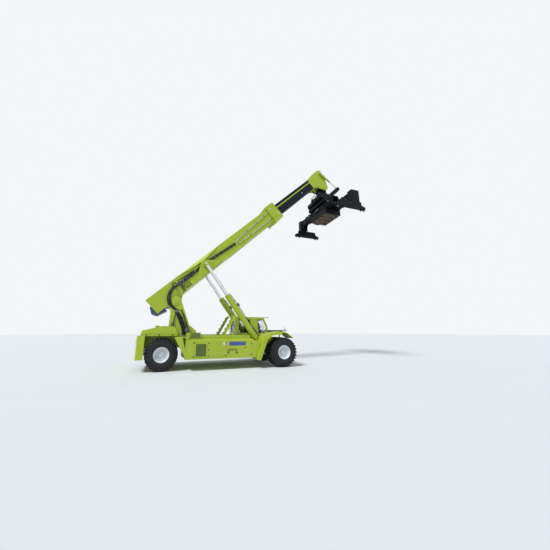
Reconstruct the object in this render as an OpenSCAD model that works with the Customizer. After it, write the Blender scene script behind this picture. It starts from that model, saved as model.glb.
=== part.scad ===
// Reach stacker with a telescopic boom and a transverse spreader.
// +X is forward, +Y is left, +Z is up. Lengths are millimetres.
// The origin lies on the floor under the centre of the machine's box.

/* [Wheels] */
// Rear axle to front axle
wheelbase = 6660; // [6200:10:7200]
// Outer radius of every tyre
tyre_r = 820; // [790:5:850]
// Width of one tyre
tyre_w = 480; // [420:5:500]
// Radius of the rim flange
rim_r = 345; // [320:5:370]
// Centre line to the outer face of the front twin tyres
front_out = 2083; // [2040:1:2140]
// Free gap between the two tyres of a twin
twin_gap = 80; // [60:5:120]
// Centre line to the outer face of a rear tyre
rear_out = 1490; // [1460:1:1540]
// Centre line to a steering pin
kingpin_y = 900; // [880:5:920]

/* [Chassis] */
// Underside of the chassis above the floor
ground_gap = 600; // [560:5:640]
// Top of the chassis rails
rail_top = 1620; // [1580:5:1640]
// Centre line to the outer face of a side box
side_y = 1850; // [1800:5:1900]
// Top of the side boxes
side_top = 1580; // [1540:5:1600]
// Front face of the side boxes from the rear axle
side_front = 5060; // [4900:10:5100]
// Rear axle to the tail of the counterweight
tail = 1380; // [1340:10:1500]
// Top of the walkway deck
deck_top = 1760; // [1740:5:1800]
// Half width of the walkway deck
deck_y = 1560; // [1480:10:1650]
// Highest point of the rear hood
hood_top = 2250; // [2200:10:2350]
// Half width of the rear hood
hood_y = 1500; // [1460:10:1560]

/* [Cab] */
// Rear wall of the cab from the rear axle
cab_rear = 4080; // [4050:10:4150]
// Front foot of the cab from the rear axle
cab_front = 6100; // [6000:10:6150]
// Half width of the cab
cab_y = 690; // [650:5:700]
// Roof top above the floor
cab_top = 2860; // [2780:10:2900]
// Cab floor above the ground
cab_floor = 1300; // [1250:10:1350]
// Thickness of the cab walls and doors
cab_wall = 50; // [40:2:60]

/* [Boom] */
// Boom angle above the horizontal
boom_angle = 43.3; // [40:0.1:46]
// Boom pivot from the rear axle
pivot_x = 530; // [500:10:560]
// Boom pivot above the floor
pivot_z = 3630; // [3580:10:3680]
// Radius of the boom pivot pin
pivot_pin_r = 110; // [90:5:120]
// Half width of the outer boom tube
outer_y = 560; // [540:5:570]
// Underside of the outer boom above the pivot
outer_low = 150; // [140:5:170]
// Top of the outer boom above the pivot
outer_high = 1150; // [1120:10:1180]
// Wall of the outer boom
outer_wall = 26; // [20:2:36]
// Rear end of the outer boom behind the pivot
outer_back = 1150; // [1100:10:1200]
// Mouth of the outer boom ahead of the pivot
outer_mouth = 9670; // [9500:10:9800]
// Half width of the inner boom
inner_y = 440; // [420:5:460]
// Front end of the inner boom ahead of the pivot
inner_end = 13950; // [13700:10:14200]
// Length of the inner boom
inner_len = 9300; // [9200:50:9500]

/* [Lift cylinders] */
// Lower pin from the rear axle
lift_x = 5420; // [5380:5:5460]
// Lower pin above the floor
lift_z = 1420; // [1400:5:1440]
// Centre line to a lift cylinder
lift_y = 930; // [925:1:940]
// Upper pin ahead of the boom pivot, along the boom
lift_up_x = 2780; // [2740:5:2820]
// Upper pin above the boom pivot, across the boom
lift_up_z = 660; // [630:5:690]
// Outer radius of a barrel
barrel_r = 180; // [160:5:185]
// Radius of a rod
rod_r = 105; // [90:5:120]
// Lower pin to the gland of the barrel
barrel_len = 3360; // [3300:10:3400]
// Radius of both pins
lift_pin_r = 70; // [60:5:80]

/* [Spreader] */
// Length over the end beams with the arms drawn in
spreader_len = 6060; // [6058:1:6070]
// Width over the end beams
spreader_w = 2430; // [2400:5:2438]
// Hanging pin down to the underside of the end beams
hang_drop = 3200; // [3150:10:3250]
// Half length of the middle frame
frame_y = 1900; // [1850:10:1950]
// Radius of the slewing ring
slew_r = 600; // [560:10:640]
// Centre of the spreader ahead of its slewing axis
spreader_ahead = 200; // [180:10:220]

/* [Hidden] */
$fn = 64;

// Running fit between a pin and its bore, and the small gap between seated pieces
pin_fit = 0.08;
seat = 0.3;

// Colours
lime = "#a3ba32";
lime_plate = "#b5c135";
black_paint = "#12161c";
navy = "#0b1b2a";
rubber = "#1c1e24";
rim_grey = "#b9c4cc";
chrome = "#d5dadf";
glass = "#6f8f9a";
grille_green = "#5e7a2c";

// Wheels
front_outer_y = front_out - tyre_w / 2;
front_inner_y = front_outer_y - tyre_w - twin_gap;
rear_wheel_y = rear_out - tyre_w / 2;
axle_z = tyre_r;

// The boom's own frame: x along it, z across it, from the pivot
function boom_pt(p) = [
    pivot_x + p[0] * cos(boom_angle) - p[1] * sin(boom_angle),
    pivot_z + p[0] * sin(boom_angle) + p[1] * cos(boom_angle)
];
hang_local = [inner_end + 1000, -250];
hang = boom_pt(hang_local);
damper_local = [inner_end + 1450, 900];
damper_up = boom_pt(damper_local);
damper_low = [hang[0] + 1200, hang[1]];
lift_low = [lift_x, lift_z];
lift_up = boom_pt([lift_up_x, lift_up_z]);
inner_low = outer_low + outer_wall + 64;
inner_high = outer_high - outer_wall - 64;

// Fore and aft ends of the machine, which set where its origin lies
spreader_mid = hang[0] + spreader_ahead;
front_end = spreader_mid + spreader_w / 2;
x_mid = (front_end - tail) / 2;

module machine() {
    translate([-x_mid, 0, 0]) children();
}

module at_boom() {
    translate([pivot_x, 0, pivot_z]) rotate([0, -boom_angle, 0]) children();
}

module both_sides() {
    children();
    mirror([0, 1, 0]) children();
}

// A side outline, x and z, made solid from y0 to y1
module slab(points, y0, y1) {
    translate([0, y1, 0]) rotate([90, 0, 0]) linear_extrude(y1 - y0) polygon(points);
}

// A box from corner to corner
module block(a, b) {
    translate(a) cube([b[0] - a[0], b[1] - a[1], b[2] - a[2]]);
}

// A round bar along y
module bar_y(x, z, r, y0, y1) {
    translate([x, y0, z]) rotate([-90, 0, 0]) cylinder(r = r, h = y1 - y0);
}

module wheel_profile(rim_in) {
    shoulder = 60;
    bead = rim_r;
    polygon([
        [rim_in, -tyre_w * 0.30],
        [bead - 20, -tyre_w * 0.36],
        [bead + 10, -tyre_w * 0.44],
        [bead + 150, -tyre_w / 2],
        [tyre_r - 170, -tyre_w / 2 + 6],
        [tyre_r - shoulder, -tyre_w / 2 + 30],
        [tyre_r, -tyre_w / 2 + 75],
        [tyre_r, tyre_w / 2 - 75],
        [tyre_r - shoulder, tyre_w / 2 - 30],
        [tyre_r - 170, tyre_w / 2 - 6],
        [bead + 150, tyre_w / 2],
        [bead + 10, tyre_w * 0.44],
        [bead - 20, tyre_w * 0.36],
        [rim_in, tyre_w * 0.30]
    ]);
}

// One wheel, its axis along y, with the disc near its outer side
module wheel(y, disc_out) {
    translate([0, y, 0]) rotate([90, 0, 0]) {
        rotate_extrude($fn = 96) wheel_profile(rim_r - 45);
        translate([0, 0, disc_out]) rotate_extrude($fn = 96) polygon([
            [0, -20], [0, 60], [120, 60], [135, 40], [200, 40], [230, 10],
            [rim_r - 30, 10], [rim_r - 30, -20]
        ]);
    }
}

module rear_wheel(side) {
    hub_y = rear_wheel_y;
    translate([0, 0, axle_z]) mirror([0, side < 0 ? 0 : 1, 0]) color(rubber) difference() {
        union() {
            wheel(-hub_y, 60);
            // hub spindle sleeve
            bar_y(0, 0, 150, -hub_y - 75, -hub_y + 60);
        }
        bar_y(0, 0, 60 + pin_fit, -hub_y - 40, -hub_y + 70);
    }
}

module front_wheels(side) {
    translate([wheelbase, 0, axle_z]) mirror([0, side < 0 ? 0 : 1, 0]) color(rubber) difference() {
        union() {
            wheel(-front_outer_y, 0);
            wheel(-front_inner_y, 0);
            // drum that joins the two discs
            bar_y(0, 0, 260, -front_outer_y - 40, -front_inner_y + 120);
        }
        bar_y(0, 0, 110 + pin_fit, -front_outer_y + 120, -front_inner_y + 200);
    }
}

module steer_axle() {
    fork = 170;
    color("#3a3f38") {
        difference() {
            union() {
                block([-150, -kingpin_y + 60, axle_z - 160], [150, kingpin_y - 60, axle_z + 160]);
                both_sides() translate([0, kingpin_y, axle_z - 210]) cylinder(r = 100, h = 420);
                both_sides() block([-100, kingpin_y - 120, axle_z - 210], [100, kingpin_y, axle_z + 210]);
                // centre cradle under the frame neck
                slab([[-260, axle_z + 100], [260, axle_z + 100], [200, 1100 - seat], [-200, 1100 - seat]], -200, 200);
            }
            both_sides() translate([0, kingpin_y, axle_z - 220]) cylinder(r = 45 + pin_fit, h = 440);
            both_sides() block([-220, kingpin_y - 116, axle_z - 131], [220, kingpin_y + 140, axle_z + 131]);
        }
    }
}

// Knuckle in the fork of the steering axle, with the spindle that carries the wheel
module steer_knuckle(side) {
    mirror([0, side < 0 ? 1 : 0, 0]) color("#454a42") {
        difference() {
            union() {
                translate([0, kingpin_y, axle_z - 130]) cylinder(r = 95, h = 260);
                bar_y(0, axle_z, 90, kingpin_y, kingpin_y + 150);
                bar_y(0, axle_z, 60, kingpin_y + 100, rear_wheel_y + 38);
            }
        }
        translate([0, kingpin_y, axle_z - 215]) cylinder(r = 45, h = 430);
    }
}

module drive_axle() {
    color("#3a3f38") translate([wheelbase, 0, axle_z]) {
        hub_in = front_inner_y - 200;
        bar_y(0, 0, 200, -hub_in + 20, hub_in - 20);
        both_sides() bar_y(0, 0, 110, hub_in - 20, front_outer_y - 122);
        translate([0, 0, -260]) cylinder(r = 260, h = 460);
        both_sides() block([-170, 520, 180], [170, 700, 290 - seat]);
    }
}

module chassis_frame() {
    rail_in = 640;
    rail_out = 700;
    axle_top = axle_z + 290;
    color(lime) {
        difference() {
            union() {
                both_sides() slab([
                    [1050, ground_gap], [5700, ground_gap], [6200, axle_top], [7150, axle_top],
                    [7150, rail_top], [cab_front + 120, rail_top], [cab_front + 40, cab_floor - seat],
                    [cab_rear - 60, cab_floor - seat], [cab_rear - 120, rail_top], [1050, rail_top]
                ], rail_in, rail_out);
                // well floor behind the cab door
                block([3060, -rail_in - 5, cab_floor - 20], [cab_rear - 10, rail_in + 5, cab_floor + 20]);
                block([1050, -rail_in, ground_gap], [5650, rail_in, ground_gap + 40]);
                block([1050, -rail_out, ground_gap], [1110, rail_out, rail_top]);
                block([7090, -rail_out, axle_top], [7150, rail_out, rail_top]);
                block([cab_front + 100, -rail_in - 5, axle_top + 20], [cab_front + 160, rail_in + 5, rail_top]);
                // neck over the steering axle
                block([-tail + 320, -280, 1100], [1060, 280, rail_top + 60]);
                block([-tail + 330 + seat, -900, rail_top + 60], [1110, 900, rail_top + 100]);
                block([1050, -900, rail_top], [1110, 900, rail_top + 100]);
                // brackets of the lift cylinders
                both_sides() lift_bracket(rail_out);
            }
        }
    }
}

module lift_bracket(rail_out) {
    half = 125;
    rear = side_front + seat;
    plate = [[rear, 1000], [lift_x + 200, 1000], [lift_x + 150, lift_z],
             [lift_x - 110, lift_z + 130], [rear, lift_z - 120]];
    slab(plate, lift_y + half, lift_y + half + 50);
    slab(plate, rail_out - 5, lift_y - half);
    bar_y(lift_x, lift_z, 130, lift_y + half, lift_y + half + 50);
    bar_y(lift_x, lift_z, 130, rail_out, lift_y - half);
    bar_y(lift_x, lift_z, lift_pin_r, rail_out, lift_y + half + 60);
    block([rear, rail_out - 5, 960], [lift_x + 200, lift_y + half + 50, 1000]);
    block([rear, rail_out - 5, 1000], [rear + 20, lift_y + half + 50, lift_z - 130]);
}

// Plan of the counterweight on its left half, hollowed round the sweep of the steered wheel
tail_half = [
    [-tail + 330, 950], [-tail + 360, 1100], [-tail + 405, 1250], [-tail + 475, 1420], [-tail + 530, 1500],
    [-tail + 200, 1500], [-tail + 165, 1400], [-tail + 80, 850], [-tail, 200]
];
module tail_plan() {
    polygon(concat(tail_half, [for (i = [len(tail_half) - 1 : -1 : 0]) [tail_half[i][0], -tail_half[i][1]]]));
}
module counterweight() {
    color(lime) difference() {
        intersection() {
            translate([0, 0, 600]) linear_extrude(1160) tail_plan();
            // leaning rear face with a cut top edge
            slab([[-tail + 75, 600], [0, 600], [0, 1760], [-tail + 30, 1760], [-tail, 1700]], -hood_y - 1, hood_y + 1);
        }
        // lamp pockets, lifting pockets and the panel lines at the tail
        both_sides() block([-tail - 1, 780, 1420], [-tail + 130, 1060, 1540]);
        both_sides() block([-tail + 130, 500, 1700], [-tail + 230, 700, 1761]);
        both_sides() block([-tail - 1, 180, 800], [-tail + 40, 192, 1640]);
        translate([0, 0, 1310]) linear_extrude(12) difference() {
            translate([-tail - 20, -1180]) square([400, 2360]);
            translate([14, 0]) tail_plan();
            translate([220, 0]) tail_plan();
        }
        // seat of the frame neck
        block([-tail + 320, -300, 1080], [-tail + 400, 300, 1800]);
        // towing jaw
        block([-tail - 10, -150, 760], [-tail + 160, 150, 900]);
        translate([-tail + 80, 0, 559]) cylinder(r = 30, h = 441);
    }
}

// Side outline of the rear hood, drawn in by a wall
function hood_outline(wall) = [
    [-tail + 330 + wall, 1760 + seat], [-tail + 330 + wall, 1900], [-1000 + wall * 0.8, 2040 - wall * 0.6],
    [-330, hood_top - 50 - wall], [-200, hood_top - wall], [540 - wall * 0.4, hood_top - wall],
    [720 - wall, 1880], [720 - wall, 1760 + seat]
];

scoop_slots = 6;
module rear_hood() {
    wall = 25;
    color(lime) difference() {
        union() {
            slab(hood_outline(0), -hood_y, hood_y);
            // lip along the lower edge, and the raised top panels
            block([-tail + 326, -hood_y - 20, 1870], [720, hood_y + 20, 1895]);
            both_sides() slab([[-130, hood_top - 5], [430, hood_top - 5], [410, hood_top + 18], [-110, hood_top + 18]],
                860, hood_y - 120);
            // cap of the air intake
            translate([-330, -1150, hood_top - 70]) cylinder(r = 80, h = 60);
            translate([-330, -1150, hood_top - 15]) cylinder(r = 120, h = 50);
        }
        translate([0, 0, -1]) slab(hood_outline(wall), -hood_y + wall, hood_y - wall);
        // the tower stands in front of the hood's middle
        block([190, -tower_out - 60, 1700], [800, tower_out + 60, 2400]);
        // cooling slots in the sloped rear part
        for (k = [0 : scoop_slots - 1], s = [-1, 1])
            block([-860 + k * 60, min(s * 300, s * 1250), 1980], [-835 + k * 60, max(s * 300, s * 1250), 2200]);
        // door lines on the sides
        for (x = [-560, 60]) both_sides() block([x, hood_y - 6, 1920], [x + 10, hood_y + 1, 2150]);
    }
}

module tower_outline() {
    difference() {
        union() {
            polygon([
                [200, rail_top + 100 + seat], [270, 3000], [pivot_x - 330, pivot_z], [pivot_x + 330, pivot_z],
                [1040, 3140], [1330, 2360], [1750, 2000], [1750, rail_top + 100 + seat]
            ]);
            translate([pivot_x, pivot_z]) circle(r = 330);
        }
    }
}

tower_in = 650;
tower_out = 790;
module boom_tower() {
    color(lime) {
        both_sides() translate([0, tower_out, 0]) rotate([90, 0, 0])
            linear_extrude(tower_out - tower_in) tower_outline();
        block([420, -tower_in - 5, 1960], [1000, tower_in + 5, 2400]);
        // cross plates at the front and the rear
        slab([[990, 3130], [1022, 3130], [1312, 2362], [1280, 2350]], -tower_in - 5, tower_in + 5);
        slab([[1280, 2350], [1312, 2362], [1730, 2010], [1700, 1990]], -tower_in - 5, tower_in + 5);
        slab([[210, 1760], [240, 1760], [298, 2900], [268, 2900]], -tower_in - 5, tower_in + 5);
        // pin bosses with their keeper plates
        both_sides() bar_y(pivot_x, pivot_z, 200, tower_out - 5, tower_out + 24);
        bar_y(pivot_x, pivot_z, pivot_pin_r, -tower_out - 44, tower_out + 44);
        both_sides() block([pivot_x - 60, tower_out + 20, pivot_z - 190], [pivot_x + 60, tower_out + 36, pivot_z - 118]);
    }
}

module engine_block() {
    color("#50545a") block([1400, -420, ground_gap + 40 + seat], [2900, 420, 1500]);
}

// Doors on the outer face of a side box: rear, front, foot, head
box_doors = [
    [1300, 1600, 690, 1480], [2290, 3290, 690, 1480], [3340, 4390, 1060, 1480], [4440, 4760, 690, 1440]
];
// Side outline of the outer part of a side box, drawn in by a wall
function box_outline(wall) = [
    [1140 + wall, ground_gap - 20 + wall], [side_front - 25 - wall, ground_gap - 20 + wall],
    [side_front + 240 - wall * 1.2, 1340 - wall * 0.6], [side_front - 60 - wall * 0.5, 1450 - wall],
    [4760 - wall * 0.5, side_top - wall], [1140 + wall, side_top - wall]
];
module side_box(side) {
    inner = 700 + seat;
    mirror([0, side < 0 ? 1 : 0, 0]) {
        color(lime) {
            difference() {
                intersection() {
                    union() {
                        block([1140, inner, ground_gap - 20], [side_front - 20, 1140, side_top]);
                        slab(box_outline(0), 1130, side_y);
                    }
                    // rolled upper edge
                    translate([1100, 0, 0]) rotate([90, 0, 90]) linear_extrude(4300) polygon([
                        [690, ground_gap - 21], [side_y, ground_gap - 21], [side_y, side_top - 55],
                        [side_y - 70, side_top + 1], [690, side_top + 1]
                    ]);
                }
                block([1160, inner + 20, ground_gap], [side_front - 40, 1140, side_top - 20]);
                slab(box_outline(20), 1120, side_y - 50);
                // grille recess
                block([1680, side_y - 30, 720], [2200, side_y + 10, 1340]);
                // tool hatch recess
                block([3470, side_y - 12, 800], [3920, side_y + 10, 960]);
            }
            // raised doors
            for (d = box_doors) block([d[0], side_y - 5, d[2]], [d[1], side_y + 8, d[3]]);
            // sill along the foot, and the frame of the grille
            block([1290, side_y - 5, ground_gap - 10], [side_front - 60, side_y + 6, ground_gap + 34]);
            difference() {
                block([1640, side_y - 5, 690], [2240, side_y + 12, 1370]);
                block([1680, side_y - 31, 720], [2200, side_y + 20, 1340]);
            }
            slab([[560, 1710], [960, 1710], [1260, ground_gap - 10], [1210, ground_gap - 10]], side_y - 140, side_y);
            block([700, 1000, 1710 - 40], [1300, side_y - 10, 1710]);
            block([1140, 1000, side_top - 10], [1300, side_y - 10, 1710]);
        }
        color(grille_green) for (k = [0 : 9])
            block([1685, side_y - 31, 735 + k * 60], [2195, side_y - 5, 765 + k * 60]);
    }
}

louvres = 7;
// Covers on the deck: rear, front, inner edge
deck_covers = [[1960, 3160, 1150], [3220, 4700, 1170]];
module walkway_deck() {
    color(lime) {
        both_sides() block([1830, 720, deck_top - 40], [4740, deck_y, deck_top]);
        both_sides() block([1830, deck_y - 30, side_top + seat], [4740, deck_y, deck_top]);
        both_sides() block([4700, 1140, side_top + seat], [4740, deck_y, deck_top]);
        both_sides() difference() {
            slab([
                [1320, side_top + seat], [1320, 1710 + seat], [1180, 1710 + seat], [1180, 1925], [1920, 1925],
                [1920, side_top + seat]
            ], 1000, deck_y + 60);
            block([1340, 1020, side_top], [1900, deck_y + 40, 1905]);
            // louvre slots of the intake box
            for (k = [0 : louvres - 1])
                block([1380, deck_y + 30, 1640 + k * 40], [1870, deck_y + 61, 1658 + k * 40]);
        }
        // stub of the intake, and the raised deck covers
        both_sides() translate([1560, 1350, 1920]) cylinder(r = 45, h = 110);
        both_sides() translate([1560, 1350, 2020]) cylinder(r = 70, h = 60);
        both_sides() for (d = deck_covers)
            block([d[0], d[2], deck_top - 5], [d[1], deck_y - 25, deck_top + 28]);
        both_sides() block([1960, 735, deck_top - 5], [3180, 1110, deck_top + 12]);
        block([1830, -725, deck_top - 40], [3050, 725, deck_top]);
    }
}

module front_fenders() {
    y0 = 1130;
    y1 = front_out + 27;
    color(lime) both_sides() difference() {
        union() {
            slab([
                [5010, 470], [5055, 450], [5490, 1655], [5820, 1862], [6250, 1935], [6490, 1945], [6850, 1868], [7220, 1590],
                [7245, 1620], [6870, 1905], [6500, 1985], [6240, 1975], [5800, 1905], [5450, 1690]
            ], y0, y1);
            slab([[5640, 1100], [5750, 1100], [5750, 1840], [5640, 1770]], 700 + seat, y0 + 20);
            // turned-down outer edge
            slab([
                [5014, 465], [5200, 430], [5625, 1540], [5900, 1740], [6300, 1800], [6480, 1790], [6560, 1830], [6600, 1955],
                [6490, 1975], [6242, 1965], [5805, 1895], [5460, 1680]
            ], y1 - 16, y1);
            // stiffening ribs on top
            for (y = [y0 + 180, y0 + 700])
                slab([[5830, 1890], [6240, 1955], [6490, 1965], [6490, 2003], [6230, 1993], [5815, 1928]], y, y + 20);
        }
    }
}

// Tread plate between the front fenders, on two cross beams over the rails
module front_platform() {
    top = 2060;
    back = cab_front + 160;
    edge = 1130 - seat;
    color(navy) {
        difference() {
            block([back, -edge, top - 190], [back + 780, edge, top]);
            block([back + 12, -edge + 12, top - 191], [back + 768, edge - 12, top - 12]);
        }
        for (x = [back + 1, back + 728]) both_sides() block([x, 640, rail_top + seat], [x + 40, 700, top - 5]);
    }
}

module cab_shell() {
    w = cab_wall;
    color(lime) cab_door_hinges();
    color(lime) difference() {
        union() {
            slab(cab_outline(), -cab_y, cab_y);
            // gutter above the side windows, and the door sills
            both_sides() block([cab_rear + 60, cab_y - 5, cab_top - 140], [cab_front - 300, cab_y + 8, cab_top - 115]);
        }
        slab([
            [cab_rear + w, cab_floor + w], [cab_rear + w, cab_top - 90], [cab_front - 185, cab_top - 90],
            [cab_front - 90, 2550], [cab_front + 20, 2330], [cab_front + 44, 2130], [cab_front + 2, 1830],
            [cab_front - 275, cab_floor + w]
        ], -cab_y + w, cab_y - w);
        // roof window
        block([4640 - seat, -450 - seat, cab_top - 100], [roof_end - 20 + seat, 450 + seat, cab_top - 59]);
        // side windows
        block([4300, -cab_y - 1, 1900], [window_end, cab_y + 1, cab_top - 160]);
        // side windows ahead of the doors
        slab(front_window(0), -cab_y - 1, cab_y + 1);
        // pressed panel under the side windows
        both_sides() block([4300, cab_y - 8, 1420], [window_end + 480, cab_y + 1, 1800]);
        both_sides() block([window_end + 60, cab_y - 8, 1960], [window_end + 450, cab_y + 1, cab_top - 230]);
        // step light pocket in the floor edge
        both_sides() block([4180, cab_y - 8, 1330], [4260, cab_y + 1, 1370]);
        // doorway in the rear wall, and the windscreen
        block([cab_rear - 1, -door_half - 6, cab_floor + w + 20], [cab_rear + w + 1, door_half + 6, cab_top - 160]);
        block([roof_end, -screen_half, 1800], [cab_front + 110, screen_half, 2690]);
        block([5880, -screen_half, 1400], [cab_front + 110, screen_half, 1740]);
    }
}

screen_half = cab_y - 90;
// Window beside the windscreen, drawn in by a gap
function front_window(gap) = [
    [window_end + 530 + gap, 1900 + gap], [window_end + 530 + gap, cab_top - 160 - gap], [cab_front - 210 - gap, cab_top - 160 - gap],
    [cab_front - 140 - gap, 2540], [cab_front - 28 - gap, 2320], [cab_front - 5 - gap, 2130],
    [cab_front - 40 - gap, 1900 + gap]
];
// Front edge of the rear side window
window_end = cab_front - 1100;
// Front edge of the roof window
roof_end = cab_front - 400;

door_half = 430;
function cab_outline() = [
    [cab_rear, cab_floor], [cab_front - 250, cab_floor], [cab_front + 50, 1820], [cab_front + 95, 2130],
    [cab_front + 70, 2340], [cab_front - 40, 2560], [cab_front - 150, cab_top - 60], [cab_rear, cab_top - 60]
];

module cab_roof() {
    color(lime) difference() {
        slab([
            [cab_rear - 20, cab_top - 60 + seat], [cab_front - 130, cab_top - 60 + seat], [cab_front - 100, cab_top - 26],
            [cab_front + 60, cab_top - 22], [cab_front + 60, cab_top], [cab_rear - 20, cab_top]
        ], -cab_y, cab_y);
        // roof window, between its guard bars
        for (k = [0 : 2])
            block([4620, -420 + k * 300, cab_top - 70], [roof_end, -180 + k * 300, cab_top + 1]);
    }
}

module cab_glass() {
    color(glass) {
        both_sides() block([4300 + seat, cab_y - 28, 1900 + seat], [window_end - seat, cab_y - 22, cab_top - 160 - seat]);
        both_sides() slab(front_window(seat), cab_y - 28, cab_y - 22);
        // windscreen, the pane over the feet and the roof window
        half = screen_half - seat;
        slab([
            [cab_front + 22, 1800 + seat], [cab_front + 28, 1800 + seat], [cab_front + 74, 2130], [cab_front + 49, 2336],
            [cab_front - 68, 2556], [cab_front - 143, 2690 - seat], [cab_front - 149, 2690 - seat], [cab_front - 74, 2553],
            [cab_front + 43, 2334], [cab_front + 68, 2129]
        ], -half, half);
        slab([[5882, 1400 + seat], [5888, 1400 + seat], [6084, 1740 - seat], [6078, 1740 - seat]], -half, half);
        block([4640, -450, cab_top - 66], [roof_end - 20, 450, cab_top - 60]);
    }
}

module operator_seat() {
    color("#24262a") {
        block([4415 + seat, -260, cab_floor + 420], [4915, 260, cab_floor + 540]);
        slab([[4330, cab_floor + 420], [4415, cab_floor + 420], [4330, 2560], [4240, 2560]], -250, 250);
    }
}

module cab_controls() {
    color("#2a2d32") {
        block([4500, -180, cab_floor + 50 + seat], [4840, 180, cab_floor + 420 - seat]);
        slab([[5500, cab_floor + 50 + seat], [5640, cab_floor + 50 + seat], [5400, 2080], [5330, 2060]], -70, 70);
    }
}

ladder_foot = [3240, 1760];
ladder_head = [3960, 2960];
module access_ladders() {
    treads = 5;
    run = ladder_head - ladder_foot;
    color(lime) both_sides() {
        for (y = [720, 1120])
            slab([ladder_foot, ladder_foot + [110, 0], ladder_head + [60, 0], ladder_head - [50, 0]], y, y + 20);
        for (k = [0 : treads - 1]) {
            p = ladder_foot + run * (k + 0.7) / (treads + 0.2);
            block([p[0] - 110, 720, p[1]], [p[0] + 110, 1140, p[1] + 25]);
            // toothed bracket under each tread
            for (y = [720, 1120])
                slab([[p[0] - 110, p[1] + 20], [p[0] + 60, p[1] + 20], [p[0] - 10, p[1] - 120]], y, y + 20);
        }
    }
}

module work_lamps() {
    color("#dfe6ea") both_sides() {
        translate([6700, front_out - 60, 1945.5]) cylinder(r = 16, h = 344);
        translate([6690, front_out - 60, 2050]) rotate([0, 90, 0]) cylinder(r = 66, h = 110);
    }
}

// A smooth line through the points of a route, with k steps between two of them
function catmull(a, b, c, d, t) = 0.5 * (
    2 * b + (c - a) * t + (2 * a - 5 * b + 4 * c - d) * t * t + (3 * b - a - 3 * c + d) * t * t * t
);
function smooth(p, k) = [
    for (i = [0 : len(p) - 2], j = [0 : k - 1])
        catmull(p[max(i - 1, 0)], p[i], p[i + 1], p[min(i + 2, len(p) - 1)], j / k),
    p[len(p) - 1]
];
function unit(v) = v / norm(v);
function heading(p, i) = unit(p[min(i + 1, len(p) - 1)] - p[max(i - 1, 0)]);

// A hose swept along a line of points that keeps clear of the y direction
module hose(p, r, sides = 8) {
    rings = [
        for (i = [0 : len(p) - 1])
            let (t = heading(p, i), a = unit(cross(t, [0, 1, 0])), b = cross(t, a))
            for (k = [0 : sides - 1]) p[i] + r * (cos(360 * k / sides) * a + sin(360 * k / sides) * b)
    ];
    n = len(p);
    walls = [
        for (i = [0 : n - 2], k = [0 : sides - 1])
            let (m = (k + 1) % sides, q = i * sides)
            [q + k, q + sides + k, q + sides + m, q + m]
    ];
    near_cap = [for (k = [0 : sides - 1]) k];
    far_cap = [for (k = [sides - 1 : -1 : 0]) (n - 1) * sides + k];
    polyhedron(rings, concat(walls, [near_cap, far_cap]), convexity = 4);
}

hose_r = 18;
hose_y = tower_out + hose_r + seat;
hose_count = 6;
module tower_hoses() {
    color(black_paint) for (k = [0 : hose_count - 1])
        hose(smooth([
            [1000 + 44 * k, -hose_y, 1780], [950 + 46 * k, -hose_y - 30, 2100], [790 + 46 * k, -hose_y - 10, 2500],
            [640 + 46 * k, -hose_y - 24, 2850], [500 + 42 * k, -hose_y - 2, 3060], [500 + 42 * k, -hose_y - 2, 3118]
        ], 3), hose_r);
}

// Door hinges on the rear wall of the cab
hinge_x = cab_rear - 22;
hinge_y = door_half + 14;
hinge_z = [1560, 2300];
module cab_door_hinges() {
    for (z = hinge_z) {
        // lower knuckle of each hinge
        translate([hinge_x, -hinge_y, z - 60 - seat]) cylinder(r = 16, h = 60);
        block([hinge_x, -hinge_y - 40, z - 60 - seat], [cab_rear + 2, -hinge_y + 2, z - seat]);
    }
}

module cab_door() {
    low = cab_floor + cab_wall + 26;
    high = cab_top - 166;
    color(lime) difference() {
        union() {
            block([cab_rear, -door_half, low], [cab_rear + cab_wall - 4, door_half, high]);
            for (z = hinge_z) {
                translate([hinge_x, -hinge_y, z]) cylinder(r = 16, h = 120);
                block([hinge_x - 6, -hinge_y, z], [cab_rear - 1, -door_half + 60, z + 120]);
                block([cab_rear - 2, -door_half, z], [cab_rear + 6, -door_half + 60, z + 120]);
            }
        }
        block([cab_rear - 1, -door_half + 80, 1950], [cab_rear + cab_wall + 1, door_half - 80, high - 80]);
    }
}

piston_r = barrel_r - 40;
lift_len = norm(lift_up - lift_low);
lift_tilt = atan2(lift_up[0] - lift_low[0], lift_up[1] - lift_low[1]);
module at_lift() {
    translate([lift_x, lift_y, lift_z]) rotate([0, lift_tilt, 0]) children();
}

module lift_barrel(side) {
    eye_half = 118;
    mirror([0, side < 0 ? 1 : 0, 0]) at_lift() color(lime) difference() {
        union() {
            translate([0, 0, 205]) cylinder(r = barrel_r, h = barrel_len - 205);
            bar_y(0, 0, 150, -eye_half, eye_half);
            block([-110, -eye_half, 0], [110, eye_half, 230]);
        }
        // groove that marks the gland
        translate([0, 0, barrel_len - 130]) difference() {
            cylinder(r = barrel_r + 10, h = 14);
            cylinder(r = barrel_r - 10, h = 14);
        }
        translate([0, 0, 250]) cylinder(r = piston_r + seat, h = barrel_len - 350);
        translate([0, 0, 250]) cylinder(r = rod_r + seat, h = barrel_len);
        bar_y(0, 0, lift_pin_r + pin_fit, -eye_half - 1, eye_half + 1);
    }
}

module lift_rod(side) {
    eye_half = 110;
    length = 3310;
    mirror([0, side < 0 ? 1 : 0, 0]) at_lift() color(chrome) {
        translate([0, 0, lift_len - length]) cylinder(r = rod_r, h = length);
        translate([0, 0, lift_len - length]) cylinder(r = piston_r, h = 60);
        bar_y(0, lift_len, 140, -eye_half, eye_half);
    }
}

module boom_section(y, low, high, x0, x1) {
    block([x0, -y, low], [x1, y, high]);
}

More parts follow.
